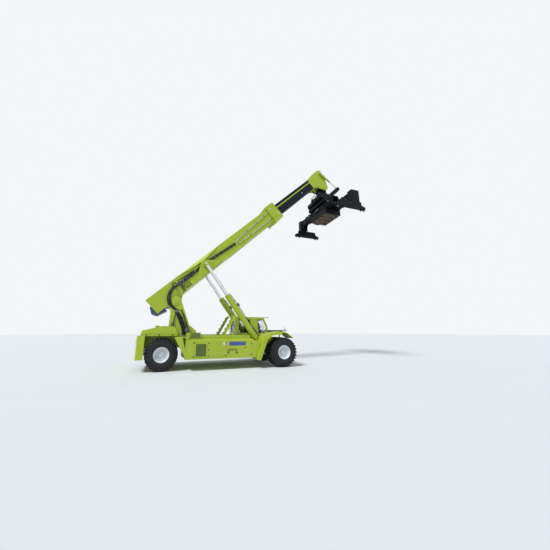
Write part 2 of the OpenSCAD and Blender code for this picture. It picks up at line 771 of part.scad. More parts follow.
// Thick hollow collar round the mouth of the outer boom
module boom_collar() {
    t = 60;
    difference() {
        block([8870, -680, -20], [outer_mouth, 680, 1300]);
        for (s = [-1, 1]) block([8870 + t, min(s * 620, s * (outer_y - 2)), 40], [outer_mouth - t, max(s * 620, s * (outer_y - 2)), 1240]);
        block([8870 + t, -outer_y, outer_high - 2], [outer_mouth - t, outer_y, 1240]);
        block([8870 + t, -outer_y, 40], [outer_mouth - t, outer_y, outer_low + 2]);
    }
}

// Guide rail on the inner boom
rail_z = 770;
rail_h = 84;
module boom_outer() {
    w = outer_wall;
    cheek = 740;
    color(lime) at_boom() difference() {
        union() {
            boom_section(outer_y, outer_low, outer_high, -outer_back, outer_mouth);
            boom_collar();
            both_sides() slab([[1610, outer_low + 20], [3830, outer_low + 50], [2860, 960], [2680, 960]],
                outer_y - 5, cheek);
            both_sides() bar_y(lift_up_x, lift_up_z, 190, outer_y, lift_y - 110.5);
            both_sides() boom_fairing(cheek);
            both_sides() slab([[-620, outer_low + 10], [700, outer_low + 10], [260, -130], [-200, -200]], 330, outer_y - 10);
            // welded bands round the tube, and the ridge under it
            for (x = [-outer_back, -420, 4380]) block(
                [x, -outer_y - 6, outer_low - 6], [x + 120, outer_y + 6, outer_high + 6]);
            block([4500, -90, outer_low - 30], [8870, 90, outer_low + 5]);
            both_sides() bar_y(0, 0, 260, 330, outer_y + 60);
        }
        difference() {
            boom_section(outer_y - w, outer_low + w, outer_high - w, -outer_back + w, outer_mouth + 1);
            // front wear pads
            for (x = [outer_mouth - 640, outer_mouth - 180]) {
                for (s = [-1, 1], z = [[inner_low + 120, rail_z - 6], [rail_z + rail_h + 6, inner_high - 60]]) block(
                    [x, min(s * (inner_y + seat), s * outer_y), z[0]],
                    [x + 120, max(s * (inner_y + seat), s * outer_y), z[1]]);
                block([x, -inner_y + 80, outer_low], [x + 120, inner_y - 80, inner_low - seat]);
                block([x, -inner_y + 80, inner_high + seat], [x + 120, inner_y - 80, outer_high]);
            }
        }
        bar_y(0, 0, pivot_pin_r + pin_fit, -700, 700);
        // way of the pipes past the cheek and the band on the right side
        block([2050, -outer_y - 58, 600], [3500, -outer_y, 830]);
        block([4370, -outer_y - 58, 480], [4510, -outer_y, 830]);
        // shallow channels along both sides
        both_sides() block([4560, outer_y - 10, 420], [8780, outer_y + 1, 800]);
    }
}

// Sloped cover from the top edge of the boom out to the cylinder cheek
module boom_fairing(cheek) {
    intersection() {
        slab([[900, outer_high], [2640, 930], [2900, 930], [4300, outer_high]], outer_y - 5, cheek);
        translate([800, 0, 0]) rotate([90, 0, 90]) linear_extrude(3600) polygon([
            [outer_y - 6, 900], [cheek, 900], [cheek, 965], [outer_y, outer_high], [outer_y - 6, outer_high]
        ]);
    }
}

// Hoses and pipes along the right side of the boom, with their valve block
pipe_r = 24;
pipe_y = outer_y + pipe_r + seat;
module boom_hoses() {
    color(black_paint) at_boom() {
        block([770, -outer_y - 90, 620], [980, -outer_y - seat, 810]);
        translate([870, -outer_y - 89, 720]) rotate([90, 0, 0]) cylinder(r = 60, h = 40);
        for (k = [0 : 2])
            hose(smooth([
                [970, -pipe_y, 656 + 60 * k], [1450, -pipe_y, 620 + 62 * k], [2200, -pipe_y, 640 + 62 * k],
                [2700, -pipe_y, 660 + 62 * k], [3500, -pipe_y, 640 + 62 * k], [4600, -pipe_y, 560 + 62 * k],
                [5300, -pipe_y, 500 + 62 * k]
            ], 3), pipe_r);
        // comb of clamps below the valve block
        for (k = [0 : 3]) block([1010 + 110 * k, -outer_y - 40, 260], [1035 + 110 * k, -outer_y - seat, 560]);
        block([990, -outer_y - 52, 250], [1385, -outer_y - 28, 275]);
        // long loop that feeds the inner boom
        hose(smooth([
            [8860, -pipe_y, 360], [7800, -pipe_y, 370], [6600, -pipe_y, 390], [5900, -pipe_y, 405], [5560, -pipe_y, 440],
            [5440, -pipe_y, 540], [5500, -pipe_y, 650], [5760, -pipe_y, 715], [6600, -pipe_y, 760],
            [7600, -pipe_y, 810], [8400, -pipe_y, 850], [8860, -pipe_y, 870]
        ], 3), pipe_r);
        // belly cover behind and under the rear end
        slab([
            [-outer_back - seat, 700], [-outer_back - 90, 700], [-outer_back - 250, 350], [-outer_back - 110, 110],
            [-660, -40], [-660, outer_low - seat], [-outer_back + 120 + seat, outer_low - seat],
            [-outer_back + 120 + seat, outer_low - 6 - seat], [-outer_back - seat, outer_low - 6 - seat]
        ], -500, 500);
    }
}

// Hoses that bridge the boom pivot in an arc behind it
module pivot_hoses() {
    color(black_paint) for (k = [0 : hose_count - 1])
        hose(smooth([
            [500 + 42 * k, -hose_y - 2, 3122], [500 + 42 * k, -hose_y - 2, 3170], [330 + 38 * k, -hose_y - 5, 3290],
            [110 + 38 * k, -hose_y - 10, 3500],
            [30 + 40 * k, -hose_y - 10, 3850], [100 + 38 * k, -hose_y, 4200], [270 + 36 * k, -hose_y + 80, 4480],
            [470 + 30 * k, -outer_y - hose_r - 30, 4600]
        ], 3), hose_r);
}

module boom_inner() {
    color(navy) at_boom() difference() {
        union() {
            boom_section(inner_y, inner_low, inner_high, inner_end - inner_len, inner_end);
            // guide rails along both sides
            both_sides() block([inner_end - inner_len + 100, inner_y - 5, rail_z], [inner_end, inner_y + 14, rail_z + rail_h]);
            // rear wear pads
            boom_section(inner_y - 80, outer_low + outer_wall + seat, outer_high - outer_wall - seat,
                inner_end - inner_len, inner_end - inner_len + 200);
            boom_section(outer_y - outer_wall - seat, inner_low + 120, inner_high - 120,
                inner_end - inner_len, inner_end - inner_len + 200);
        }
        boom_section(inner_y - 26, inner_low + 26, inner_high - 26, inner_end - inner_len - 1, inner_end - 40);
    }
}

module head_outline() {
    e = inner_end;
    polygon([
        [e + seat, inner_low], [e + seat, inner_high + 20], [e + 800, 1190], [e + 1450, 1220], [e + 1700, 1120],
        [e + 1780, 950], [e + 1670, 450], [e + 1470, -50], [e + 1330, -340], [e + 1130, -530], [e + 850, -520],
        [e + 680, -300], [e + 400, 100]
    ]);
}

module boom_head() {
    y0 = 380;
    y1 = 440;
    color(lime) at_boom() difference() {
        union() {
            both_sides() bar_y(hang_local[0], hang_local[1], 210, 300, y1);
            both_sides() bar_y(hang_local[0], hang_local[1], 300, y1 - 5, y1 + 36);
            both_sides() bar_y(damper_local[0], damper_local[1], 120, y1 - 5, y1 + 24);
            // stub lug at the rear, and the ribs between the plates
            slab([
                [inner_end + 250, inner_low + 30], [inner_end + 400, inner_low + 30], [inner_end + 480, -10],
                [inner_end + 380, -150], [inner_end + 250, -40]
            ], -60, 60);
            block([inner_end + 200, -y0 - 5, inner_low + 20], [inner_end + 420, y0 + 5, inner_low + 60]);
            both_sides() translate([0, y1, 0]) rotate([90, 0, 0]) linear_extrude(y1 - y0) head_outline();
            block([inner_end + seat, -y1, inner_low], [inner_end + 60, y1, inner_high]);
            block([inner_end + 240, -y1, inner_low - 100], [inner_end + 280, y1, inner_high]);
            slab([[inner_end + 200, inner_high - 40], [inner_end + 1450, 1160], [inner_end + 1450, 1218],
                [inner_end + 200, inner_high + 10]], -y0 - 5, y0 + 5);
            bar_y(hang_local[0], hang_local[1], 100, -y1 - 30, y1 + 30);
            bar_y(damper_local[0], damper_local[1], 60, -620, 620);
        }
    }
}

damper_tilt = atan2(damper_low[0] - damper_up[0], damper_low[1] - damper_up[1]);
damper_len = norm(damper_low - damper_up);
damper_y = 540;
damper_rod_r = 34;
module at_damper() {
    translate([damper_up[0], 0, damper_up[1]]) rotate([0, damper_tilt, 0]) children();
}

module damper_barrels() {
    color(lime) at_damper() both_sides() difference() {
        union() {
            translate([0, damper_y, 60]) cylinder(r = 70, h = 1090);
            bar_y(0, 0, 95, damper_y - 60, damper_y + 60);
        }
        translate([0, damper_y, 150]) cylinder(r = damper_rod_r + seat, h = 1100);
        bar_y(0, 0, 60 + pin_fit, damper_y - 61, damper_y + 61);
    }
}

module damper_rods() {
    color(chrome) at_damper() both_sides() {
        translate([0, damper_y, damper_len - 1300]) cylinder(r = damper_rod_r, h = 1300);
        bar_y(0, damper_len, 70, damper_y - 50, 619.5);
    }
}

module spreader_hanger() {
    color(black_paint) translate([hang[0], 0, hang[1]]) difference() {
        union() {
            bar_y(0, 0, 280, -290, 290);
            difference() {
                block([-250, -290, -800], [250, 290, 0]);
                block([-210, -250, -760], [210, 250, -300]);
            }
            translate([0, 0, -950]) cylinder(r = slew_r, h = 180);
            both_sides() slab([[-150, -950], [500, -950], [1320, -150], [1320, 80], [1080, 80], [200, -780], [-150, -780]],
                620, 680);
            both_sides() block([-150, 560, -950], [300, 680, -770]);
            // gusset plates on the ring, and its bolts' flange
            for (y = [-290, 250]) slab([[-560, -775], [560, -775], [250, -420], [-250, -420]], y, y + 40);
            translate([0, 0, -965]) cylinder(r = slew_r - 14, h = 30);
        }
        bar_y(0, 0, 100 + pin_fit, -300, 300);
    }
}

// Slewing motors on the gear case: x, y, height of the upper casing
slew_motors = [[-690, -420, 190], [-690, 420, 190], [760, -560, 50], [760, 560, 50]];
case_low = -1420;
module rotator() {
    color(black_paint) translate([hang[0], 0, hang[1]]) {
        translate([0, 0, -1150]) cylinder(r = slew_r, h = 185 - seat);
        difference() {
            block([-800, -1000, case_low], [900, 1000, -1140]);
            block([-780, -980, case_low - 1], [880, 980, -1170]);
        }
        for (m = slew_motors) {
            translate([m[0], m[1], -1150]) cylinder(r = 95, h = 130);
            translate([m[0], m[1], -1025]) cylinder(r = 70, h = m[2]);
        }
        // valve chest and the case ribs
        block([300, 640, -1145], [840, 960, -985]);
        block([-760, -960, -1145], [-420, -620, -980]);
        for (y = [-700, -250, 250, 700]) both_sides() block([895, y - 15, case_low], [925, y + 15, -1145]);
        for (y = [-700, -250, 250, 700]) block([-825, y - 15, case_low], [-795, y + 15, -1145]);
    }
}

module at_spreader() {
    translate([spreader_mid, 0, hang[1]]) children();
}

arm_x = 420;
arm_w = 440;
arm_h = 480;
sleeve_wall = 16;
arm_low = -2240;
leg_top = -1740;
beam_top = -2650;
module spreader_frame() {
    gap = 6;
    color(black_paint) at_spreader() difference() {
        union() {
            for (s = [-1, 1])
                block([s * arm_x - arm_w / 2 - gap - sleeve_wall, -frame_y, arm_low - seat - sleeve_wall],
                      [s * arm_x + arm_w / 2 + gap + sleeve_wall, frame_y, arm_low + arm_h + gap + sleeve_wall]);
            // upper housing that slides under the gear case
            difference() {
                block([-850, -1100, -1745], [850, 1100, case_low - seat]);
                block([-830, -1080, -1830], [830, 1080, case_low - 36]);
            }
            for (y = [-1100, 1060]) block([-850, y, -1745], [850, y + 40, -1600]);
            // tray under the sleeves
            difference() {
                block([-700, -1000, -2730], [700, 1000, arm_low - 10]);
                block([-680, -980, -2731], [680, 980, arm_low - 40]);
            }
            for (y = [-500, 0, 500]) block([-690, y - 10, -2700], [690, y + 10, arm_low - 30]);
            // flanges at the sleeve mouths, and the hoops along the sleeves
            for (s = [-1, 1], y = [-frame_y, -frame_y + 420, frame_y - 480, frame_y - 60])
                block([s * arm_x - arm_w / 2 - gap - 40, y, arm_low - 50], [s * arm_x + arm_w / 2 + gap + 40, y + 60, arm_low + arm_h + 50]);
            // telescoping cylinders on top of the sleeves
            for (s = [-1, 1]) {
                bar_y(s * 690, -1900, 55, -1300, 1300);
                for (y = [-1290, 1250]) block([s * 690 - 40, y, -1960], [s * 690 + 40, y + 40, -1900]);
                for (y = [-1290, 1250]) block([min(s * 640, s * 700), y, -1960], [max(s * 640, s * 700), y + 40, -1840]);
            }
        }
        for (s = [-1, 1])
            block([s * arm_x - arm_w / 2 - gap, -frame_y - 1, arm_low - seat],
                  [s * arm_x + arm_w / 2 + gap, frame_y + 1, arm_low + arm_h + gap]);
    }
}

// The right arm slides in the front sleeve, the left one in the rear sleeve
lock_x = spreader_w / 2 - 85;
lock_y = spreader_len / 2 - 104;
eye_r = 35;
module spreader_arm(side) {
    end = spreader_len / 2;
    w = 200;
    t = 16;
    leg_w = 420;
    beam_half = 880;
    color(black_paint) at_spreader() rotate([0, 0, side < 0 ? 0 : 180]) difference() {
        union() {
            difference() {
                union() {
                    block([arm_x - arm_w / 2, -end + 1, arm_low], [arm_x + arm_w / 2, frame_y - 130, arm_low + arm_h]);
                    block([arm_x - 330, -end, beam_top - 50], [arm_x + 330, -end + leg_w, leg_top]);
                }
                block([arm_x - arm_w / 2 + t, -end + leg_w - 1, arm_low + t],
                    [arm_x + arm_w / 2 - t, frame_y, arm_low + arm_h - t]);
                block([arm_x - 330 + t, -end + t, beam_top - 10], [arm_x + 330 - t, -end + leg_w - t, leg_top - t]);
            }
            // gussets between the leg and the arm
            for (x = [arm_x - 200, arm_x + 180])
                translate([x, 0, 0]) rotate([90, 0, 90]) linear_extrude(20) polygon([
                    [-end + leg_w - 2, arm_low - 420], [-end + leg_w - 2, arm_low + 2], [-end + leg_w + 380, arm_low + 2]
                ]);
            difference() {
                block([-beam_half, -end, -hang_drop], [beam_half, -end + w, beam_top]);
                for (x = [-1, 1])
                    block([min(x * 160, x * 800), -end + t, -hang_drop + t], [max(x * 160, x * 800), -end + w - t, beam_top - t]);
            }
            // corner housings of the locks
            for (x = [-1, 1]) slab([
                [x * (beam_half - 5), -hang_drop], [x * spreader_w / 2, -hang_drop], [x * spreader_w / 2, -hang_drop + 190],
                [x * (beam_half + 120), -hang_drop + 250], [x * (beam_half - 5), -hang_drop + 330]
            ], -end, -end + w);
            // lifting eyes under the corners
            for (x = [-1, 1])
                slab([[x * 740, -hang_drop + 5], [x * 940, -hang_drop + 5], [x * 900, -hang_drop - 110], [x * 780, -hang_drop - 110]],
                    -end + 80, -end + 120);
        }
        for (x = [-840, 840])
            bar_y(x, -hang_drop - 55, eye_r, -end + 70, -end + 130);
        for (x = [-lock_x, lock_x])
            translate([x, -lock_y, -hang_drop - 1]) cylinder(r = 40 + pin_fit, h = 171);
    }
}

module twistlock(side, fore) {
    color("#8a8f94") at_spreader() translate([fore * lock_x, side * lock_y, 0]) {
        translate([0, 0, -hang_drop - 20]) cylinder(r = 40, h = 180);
        translate([-52, -28, -hang_drop - 100]) cube([104, 56, 80.5]);
    }
}

machine() {
    chassis_frame();
    counterweight();
    rear_hood();
    boom_tower();
    engine_block();
    side_box(-1);  // side_box_right
    side_box(1);  // side_box_left
    walkway_deck();
    front_fenders();
    front_platform();
    drive_axle();
    steer_axle();
    cab_shell();
    cab_roof();
    cab_glass();
    operator_seat();
    cab_controls();
    access_ladders();
    work_lamps();
    tower_hoses();
    cab_door();
    steer_knuckle(-1);  // steer_knuckle_right
    steer_knuckle(1);  // steer_knuckle_left
    rear_wheel(-1);  // rear_wheel_right
    rear_wheel(1);  // rear_wheel_left
    front_wheels(-1);  // front_wheels_right
    front_wheels(1);  // front_wheels_left
    lift_barrel(-1);  // lift_barrel_right
    lift_barrel(1);  // lift_barrel_left
    lift_rod(-1);  // lift_rod_right
    lift_rod(1);  // lift_rod_left
    boom_outer();
    boom_hoses();
    pivot_hoses();
    boom_inner();
    boom_head();
    damper_barrels();
    damper_rods();
    spreader_hanger();
    rotator();
    spreader_frame();
    spreader_arm(-1);  // spreader_arm_right
    spreader_arm(1);  // spreader_arm_left
    twistlock(-1, -1);  // twistlock_right_rear
    twistlock(-1, 1);  // twistlock_right_front
    twistlock(1, -1);  // twistlock_left_rear
    twistlock(1, 1);  // twistlock_left_front
}
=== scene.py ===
"""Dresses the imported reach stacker: stage, camera, finishes and the fittings round the CAD solids."""

import math
from itertools import product

import bmesh
import bpy
from bpy.props import FloatProperty, IntProperty, PointerProperty, StringProperty
from mathutils import Matrix, Vector


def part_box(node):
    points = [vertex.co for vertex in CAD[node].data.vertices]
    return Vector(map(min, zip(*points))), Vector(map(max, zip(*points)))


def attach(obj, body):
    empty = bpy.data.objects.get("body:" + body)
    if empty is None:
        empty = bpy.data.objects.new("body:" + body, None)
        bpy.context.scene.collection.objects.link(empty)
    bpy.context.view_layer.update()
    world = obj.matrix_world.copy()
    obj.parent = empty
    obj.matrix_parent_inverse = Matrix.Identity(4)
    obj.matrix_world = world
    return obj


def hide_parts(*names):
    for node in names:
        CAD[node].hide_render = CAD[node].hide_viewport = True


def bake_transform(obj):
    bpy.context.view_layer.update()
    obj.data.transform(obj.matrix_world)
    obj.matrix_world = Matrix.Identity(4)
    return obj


bl_info = {
    "name": "Reach Stacker Dressing",
    "version": (1, 0, 0),
    "blender": (4, 5, 0),
    "location": "3D View > Sidebar > Reach Stacker",
    "description": "Builds the finishes and fittings of a reach stacker round its packed solids",
    "category": "Object",
}

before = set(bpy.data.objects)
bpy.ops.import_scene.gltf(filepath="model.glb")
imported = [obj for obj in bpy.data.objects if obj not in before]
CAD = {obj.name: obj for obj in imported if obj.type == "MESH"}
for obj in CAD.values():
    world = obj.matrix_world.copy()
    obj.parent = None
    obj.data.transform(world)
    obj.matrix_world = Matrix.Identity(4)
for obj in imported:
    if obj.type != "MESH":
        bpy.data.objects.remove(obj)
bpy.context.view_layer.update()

# Places are written in millimetres from the rear axle, as on a drawing of the machine.
REAR_AXLE_X = sum(corner[0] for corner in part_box("rear_wheel_right")) / 2
TO_METRES = Matrix.Diagonal((0.001, 0.001, 0.001, 1))
DRAWING = Matrix.Translation((REAR_AXLE_X, 0, 0)) @ TO_METRES
SIDES = (-1, 1)
HANDS = ((-1, "right"), (1, "left"))
UP = (0, 0, 1)
TYRE_R, TYRE_W, TREAD_FLOOR_R, BEAD_R = 820, 480, 735, 410
LUG_W, LUG_LEAN = 86, 62
NUTS, NUT_RING, DISC_FACE = 20, 172, 84
WHEELBASE, REAR_Y, TWIN_YS = 6660, 1250, (1843, 1283)
SIDE_FACE, HOOD_Y, TOWER_HOSE_Y = 1858, 1500, -808
CAB_FRONT, CAB_Y, CAB_TOP, CAB_FLOOR = 6100, 690, 2860, 1352
WINDOW_FOOT, WINDOW_TOP, DOOR_TOP = 1900, CAB_TOP - 160, CAB_TOP - 246
PIVOT = (530, 3630)
BOOM_ANGLE = math.radians(43.3)
LIFT_LOW, LIFT_Y = (5420, 1420), 930
# the hanger's pin and the lift cylinders' upper pin in the boom's own frame
HANG_PIN, LIFT_PIN = (14950, -250), (2780, 660)


def boom_point(x, z):
    """A place of the boom's own frame as x and z of the drawing."""
    c, s = math.cos(BOOM_ANGLE), math.sin(BOOM_ANGLE)
    return PIVOT[0] + x * c - z * s, PIVOT[1] + x * s + z * c


# Camera solved from the photograph, and the key light: places in metres, angles in degrees.
EYE, EYE_PITCH, EYE_TURN, EYE_SHIFT = (-5.4735, -14.935, 2.031), 13.4568, -19.2959, (0.0369, -0.0011)
KEY_TILT, KEY_TURN, KEY_WIDTH = 38, -62, 14
FLOOR_R = 160

HANG = boom_point(*HANG_PIN)
LIFT_UP = boom_point(*LIFT_PIN)
LIFT_TILT = math.atan2(LIFT_UP[0] - LIFT_LOW[0], LIFT_UP[1] - LIFT_LOW[1])
ALONG_BOOM = DRAWING @ Matrix.Translation((PIVOT[0], 0, PIVOT[1])) @ Matrix.Rotation(-BOOM_ANGLE, 4, "Y")
UNDER_HEAD = DRAWING @ Matrix.Translation((HANG[0], 0, HANG[1]))
SPREADER_MIDDLE = DRAWING @ Matrix.Translation((HANG[0] + 200, 0, HANG[1]))


def along_lift(side):
    """The frame of a lift cylinder: z along it from the lower pin, x to its front."""
    foot = Matrix.Translation((LIFT_LOW[0], side * LIFT_Y, LIFT_LOW[1]))
    return DRAWING @ foot @ Matrix.Rotation(LIFT_TILT, 4, "Y")


# ---------------------------------------------------------------- shapes

def new_meshes(count):
    """Empty meshes, one for each new piece of a group."""
    return [bmesh.new() for _ in range(count)]


def circle(count, radius, start=0.0):
    """Places evenly round a circle, as pairs of coordinates."""
    angles = [start + math.tau * k / count for k in range(count)]
    return [(radius * math.cos(a), radius * math.sin(a)) for a in angles]


def add_box(mesh, corner, other, matrix=DRAWING):
    """A box between two opposite corners."""
    low = Vector([*map(min, corner, other)])
    size = Vector([*map(max, corner, other)]) - low
    spot = matrix @ Matrix.Translation(low + size / 2) @ Matrix.Diagonal((size.x, size.y, size.z, 1))
    bmesh.ops.create_cube(mesh, size=1, matrix=spot)


def add_bar(mesh, start, run, radius, sides=16, matrix=DRAWING, end_radius=None):
    """A round bar from a place along a run, straight or tapered."""
    start, run = Vector(start), Vector(run)
    turn = run.to_track_quat("Z", "Y").to_matrix().to_4x4()
    spot = matrix @ Matrix.Translation(start + run / 2) @ turn
    taper = radius if end_radius is None else end_radius
    bmesh.ops.create_cone(
        mesh, cap_ends=True, segments=sides, radius1=radius, radius2=taper, depth=run.length, matrix=spot
    )


def add_plate(mesh, outline, start, end):
    """A flat outline of x and z made solid between two places across the machine."""
    verts = [mesh.verts.new(DRAWING @ Vector((x, start, z))) for x, z in outline]
    made = bmesh.ops.extrude_face_region(mesh, geom=[mesh.faces.new(verts)])
    moved = [g for g in made["geom"] if isinstance(g, bmesh.types.BMVert)]
    bmesh.ops.translate(mesh, verts=moved, vec=DRAWING.to_3x3() @ Vector((0, end - start, 0)))
    bmesh.ops.recalc_face_normals(mesh, faces=mesh.faces)


def add_turned(mesh, profile, centre, steps):
    """A profile of radius and offset turned about an axis that runs along y."""
    before = set(mesh.verts)
    verts = [mesh.verts.new(Vector((r, s, 0))) for r, s in profile]
    edges = [mesh.edges.new(pair) for pair in zip(verts, verts[1:])]
    bmesh.ops.spin(
        mesh, geom=verts + edges, cent=(0, 0, 0), axis=(0, 1, 0), angle=math.tau, steps=steps, use_merge=True,
        use_duplicate=False,
    )
    bmesh.ops.remove_doubles(mesh, verts=[v for v in mesh.verts if v not in before], dist=0.01)
    made = [v for v in mesh.verts if v not in before]
    bmesh.ops.transform(mesh, matrix=DRAWING @ Matrix.Translation(Vector(centre)), verts=made)
    bmesh.ops.recalc_face_normals(mesh, faces=list({f for v in made for f in v.link_faces}))


def add_tube(mesh, route, radius, matrix=DRAWING, fineness=5, cyclic=False):
    """A pipe or hose along a smooth line through a route; fineness is the curve's bevel resolution."""
    line = bpy.data.curves.new("route", "CURVE")
    line.dimensions = "3D"
    line.bevel_depth = radius
    line.bevel_resolution = fineness
    line.resolution_u = 8
    line.use_fill_caps = not cyclic
    spline = line.splines.new("BEZIER")
    spline.bezier_points.add(len(route) - 1)
    for point, at in zip(spline.bezier_points, route):
        point.co = at
        point.handle_left_type = point.handle_right_type = "AUTO"
    spline.use_cyclic_u = cyclic
    holder = bpy.data.objects.new("route", line)
    swept = bpy.data.meshes.new_from_object(holder)
    swept.transform(matrix)
    mesh.from_mesh(swept)
    bpy.data.objects.remove(holder)
    bpy.data.curves.remove(line)
    bpy.data.meshes.remove(swept)


def add_bolts(mesh, xs, ys, zs, way, radius, height, matrix=DRAWING):
    """Hexagon bolt heads on their washers at every combination of x, y and z, standing out of a face."""
    way = Vector(way)
    for at in product(xs, ys, zs):
        add_bar(mesh, at, way * height * 0.25, radius * 1.45, 16, matrix)
        add_bar(mesh, at, way * height, radius, 6, matrix)


def bolt_circle(mesh, centre, side, ring, count, radius, height, matrix=DRAWING, start=0.0):
    """Bolts on a circle round an axis that runs across the machine, heads towards the given side."""
    for x, z in circle(count, ring, start):
        at = [centre[0] + x], [centre[1]], [centre[2] + z]
        add_bolts(mesh, *at, (0, side, 0), radius, height, matrix)


def add_seal(mesh, outline, y, radius=9):
    """A rubber bead along a closed outline of x and z."""
    for (x, z), (next_x, next_z) in zip(outline, outline[1:] + outline[:1]):
        add_bar(mesh, (x, y, z), (next_x - x, 0, next_z - z), radius, 8)
        corner = DRAWING @ Matrix.Translation((x, y, z))
        bmesh.ops.create_icosphere(mesh, subdivisions=1, radius=radius, matrix=corner)


# ---------------------------------------------------------------- pieces

FINISHES = {}
SLOT_OF = {
    "forged steel": "forged_steel",
    "ground pin steel": "forged_steel",
    "hose rubber": "hose_rubber",
    "safety glass": "safety_glass",
    "chromed steel": "chromed_steel",
}


def add_piece(mesh, name, body, finish, smooth=None, bevel=0, bevel_segments=2, slot=None, replaces=()):
    """Turns a bmesh into a piece that rides on a body; smooth is an angle, bevel a width in millimetres."""
    data = bpy.data.meshes.new(name)
    mesh.to_mesh(data)
    mesh.free()
    piece = bpy.data.objects.new(name, data)
    bpy.context.scene.collection.objects.link(piece)
    for each in (finish,) if isinstance(finish, str) else finish:
        data.materials.append(FINISHES[each])
    if smooth is not None:
        data.shade_smooth()
        data.set_sharp_from_angle(angle=math.radians(smooth))
    if bevel:
        rounding = piece.modifiers.new("Rounded edges", "BEVEL")
        rounding.width = bevel / 1000
        rounding.segments = bevel_segments
        rounding.limit_method = "ANGLE"
        rounding.angle_limit = math.radians(40)
        rounding.harden_normals = smooth is not None
    if body:
        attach(piece, body)
    slot = slot or SLOT_OF.get(finish)
    if replaces:
        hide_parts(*replaces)
    return piece


def add_pieces(body, *rows):
    """Several pieces on one body: mesh, name, finish, and if needed smoothing angle and bevel."""
    for mesh, name, *looks in rows:
        add_piece(mesh, name, body, *looks)


def paint_faces(node, finish, test, matrix=DRAWING):
    """Gives the faces of a CAD node whose centre passes a test another finish; only material numbers change."""
    data = CAD[node].data
    if FINISHES[finish] not in list(data.materials):
        data.materials.append(FINISHES[finish])
    number = list(data.materials).index(FINISHES[finish])
    back = matrix.inverted()
    chosen = [face for face in data.polygons if test(back @ face.center, back.to_3x3() @ face.normal)]
    if not chosen:
        raise RuntimeError("no face of " + node + " takes the finish " + finish)
    for face in chosen:
        face.material_index = number


# ---------------------------------------------------------------- finishes

def linear(hex_colour):
    """An sRGB hex value as linear red, green, blue and alpha."""
    value = hex_colour.lstrip("#")
    channels = [int(value[i : i + 2], 16) / 255 for i in (0, 2, 4)]
    return [c / 12.92 if c <= 0.04045 else ((c + 0.055) / 1.055) ** 2.4 for c in channels] + [1.0]


def add_node(tree, kind, links=None, **settings):
    """Adds a node, sets its sockets and properties, and links other outputs into its inputs."""
    node = tree.nodes.new(kind)
    for key, value in settings.items():
        if key.startswith("in_"):
            socket = node.inputs[int(key[3:])] if key[3:].isdigit() else node.inputs[key[3:].replace("_", " ")]
            socket.default_value = value
        else:
            setattr(node, key, value)
    for name, output in (links or {}).items():
        tree.links.new(output, node.inputs[name])
    return node


class Finish:
    """A named material under construction: its node tree, shader and object coordinates."""

    def __init__(self, name, **constants):
        self.material = FINISHES[name] = bpy.data.materials.new(name)
        self.material.use_nodes = True
        self.tree = self.material.node_tree
        self.tree.nodes.clear()
        self.shader = self.add("BsdfPrincipled")
        self.add("OutputMaterial", {"Surface": self.shader.outputs["BSDF"]})
        self.spot = self.add("TexCoord").outputs["Object"]
        for socket, value in constants.items():
            self.shader.inputs[socket.replace("_", " ")].default_value = value

    def add(self, kind, links=None, **settings):
        return add_node(self.tree, "ShaderNode" + kind, links, **settings)

    def noise(self, scale, detail, roughness=0.5):
        """Cloudy noise in object space."""
        node = self.add("TexNoise", {"Vector": self.spot}, in_Scale=scale, in_Detail=detail, in_Roughness=roughness)
        return node.outputs["Fac"]

    def wave(self, scale, direction, distortion=0.0, vector=None):
        """Parallel ribs in object space, or along another vector."""
        links = {"Vector": vector or self.spot}
        node = self.add("TexWave", links, bands_direction=direction, in_Scale=scale, in_Distortion=distortion)
        return node.outputs["Fac"]

    def spread(self, value, low, high, start=0.0, end=1.0):
        """A value whose range from start to end is spread from low to high."""
        node = self.add("MapRange", {"Value": value}, in_1=start, in_2=end, in_3=low, in_4=high)
        return node.outputs["Result"]

    def times(self, first, second):
        """Two values multiplied."""
        return self.add("Math", {0: first, 1: second}, operation="MULTIPLY").outputs["Value"]

    def mix(self, factor, first, second):
        """Two colours mixed by a factor; the first is a linear colour or an output, the second a linear colour."""
        node = self.add("Mix", {"Factor": factor}, data_type="RGBA", in_7=second)
        if isinstance(first, bpy.types.NodeSocket):
            self.tree.links.new(first, node.inputs[6])
        else:
            node.inputs[6].default_value = first
        return node.outputs[2]

    def drive(self, socket, output):
        """Links an output to a socket of the shader."""
        self.tree.links.new(output, self.shader.inputs[socket])

    def bump(self, height, strength, distance=0.002):
        """A relief over the surface, its distance in metres."""
        node = self.add("Bump", {"Height": height}, in_Strength=strength, in_Distance=distance)
        self.drive("Normal", node.outputs["Normal"])


def painted_steel(name, colour, shade, rough, dusty, coat=0.12, specular=0.5):
    """Two-pack machine enamel over welded steel: even colour, a soft gloss and a film of yard dust."""
    paint = Finish(name, IOR=1.5, Coat_Weight=coat, Coat_Roughness=0.12, Specular_IOR_Level=specular)
    # slow drift of tone over a sheet, about a metre across
    tone = paint.mix(paint.noise(0.9, 3.0, 0.55), linear(shade), linear(colour))
    # dust in cloudy patches of about 150 mm, thicker near the ground
    height = paint.add("SeparateXYZ", {"Vector": paint.spot}).outputs["Z"]
    patch = paint.spread(paint.noise(6.5, 6.0, 0.62), 0.0, dusty, 0.42, 0.78)
    dust = paint.times(patch, paint.spread(height, 1.0, 0.25, 0.3, 2.4))
    paint.drive("Base Color", paint.mix(dust, tone, linear("#a89f86")))
    paint.drive("Roughness", paint.spread(dust, rough, rough + 0.3, 0.0, 0.3))
    # orange peel of sprayed enamel, drawn at 12 mm so that it shows
    paint.bump(paint.noise(85.0, 2.0), 0.05)


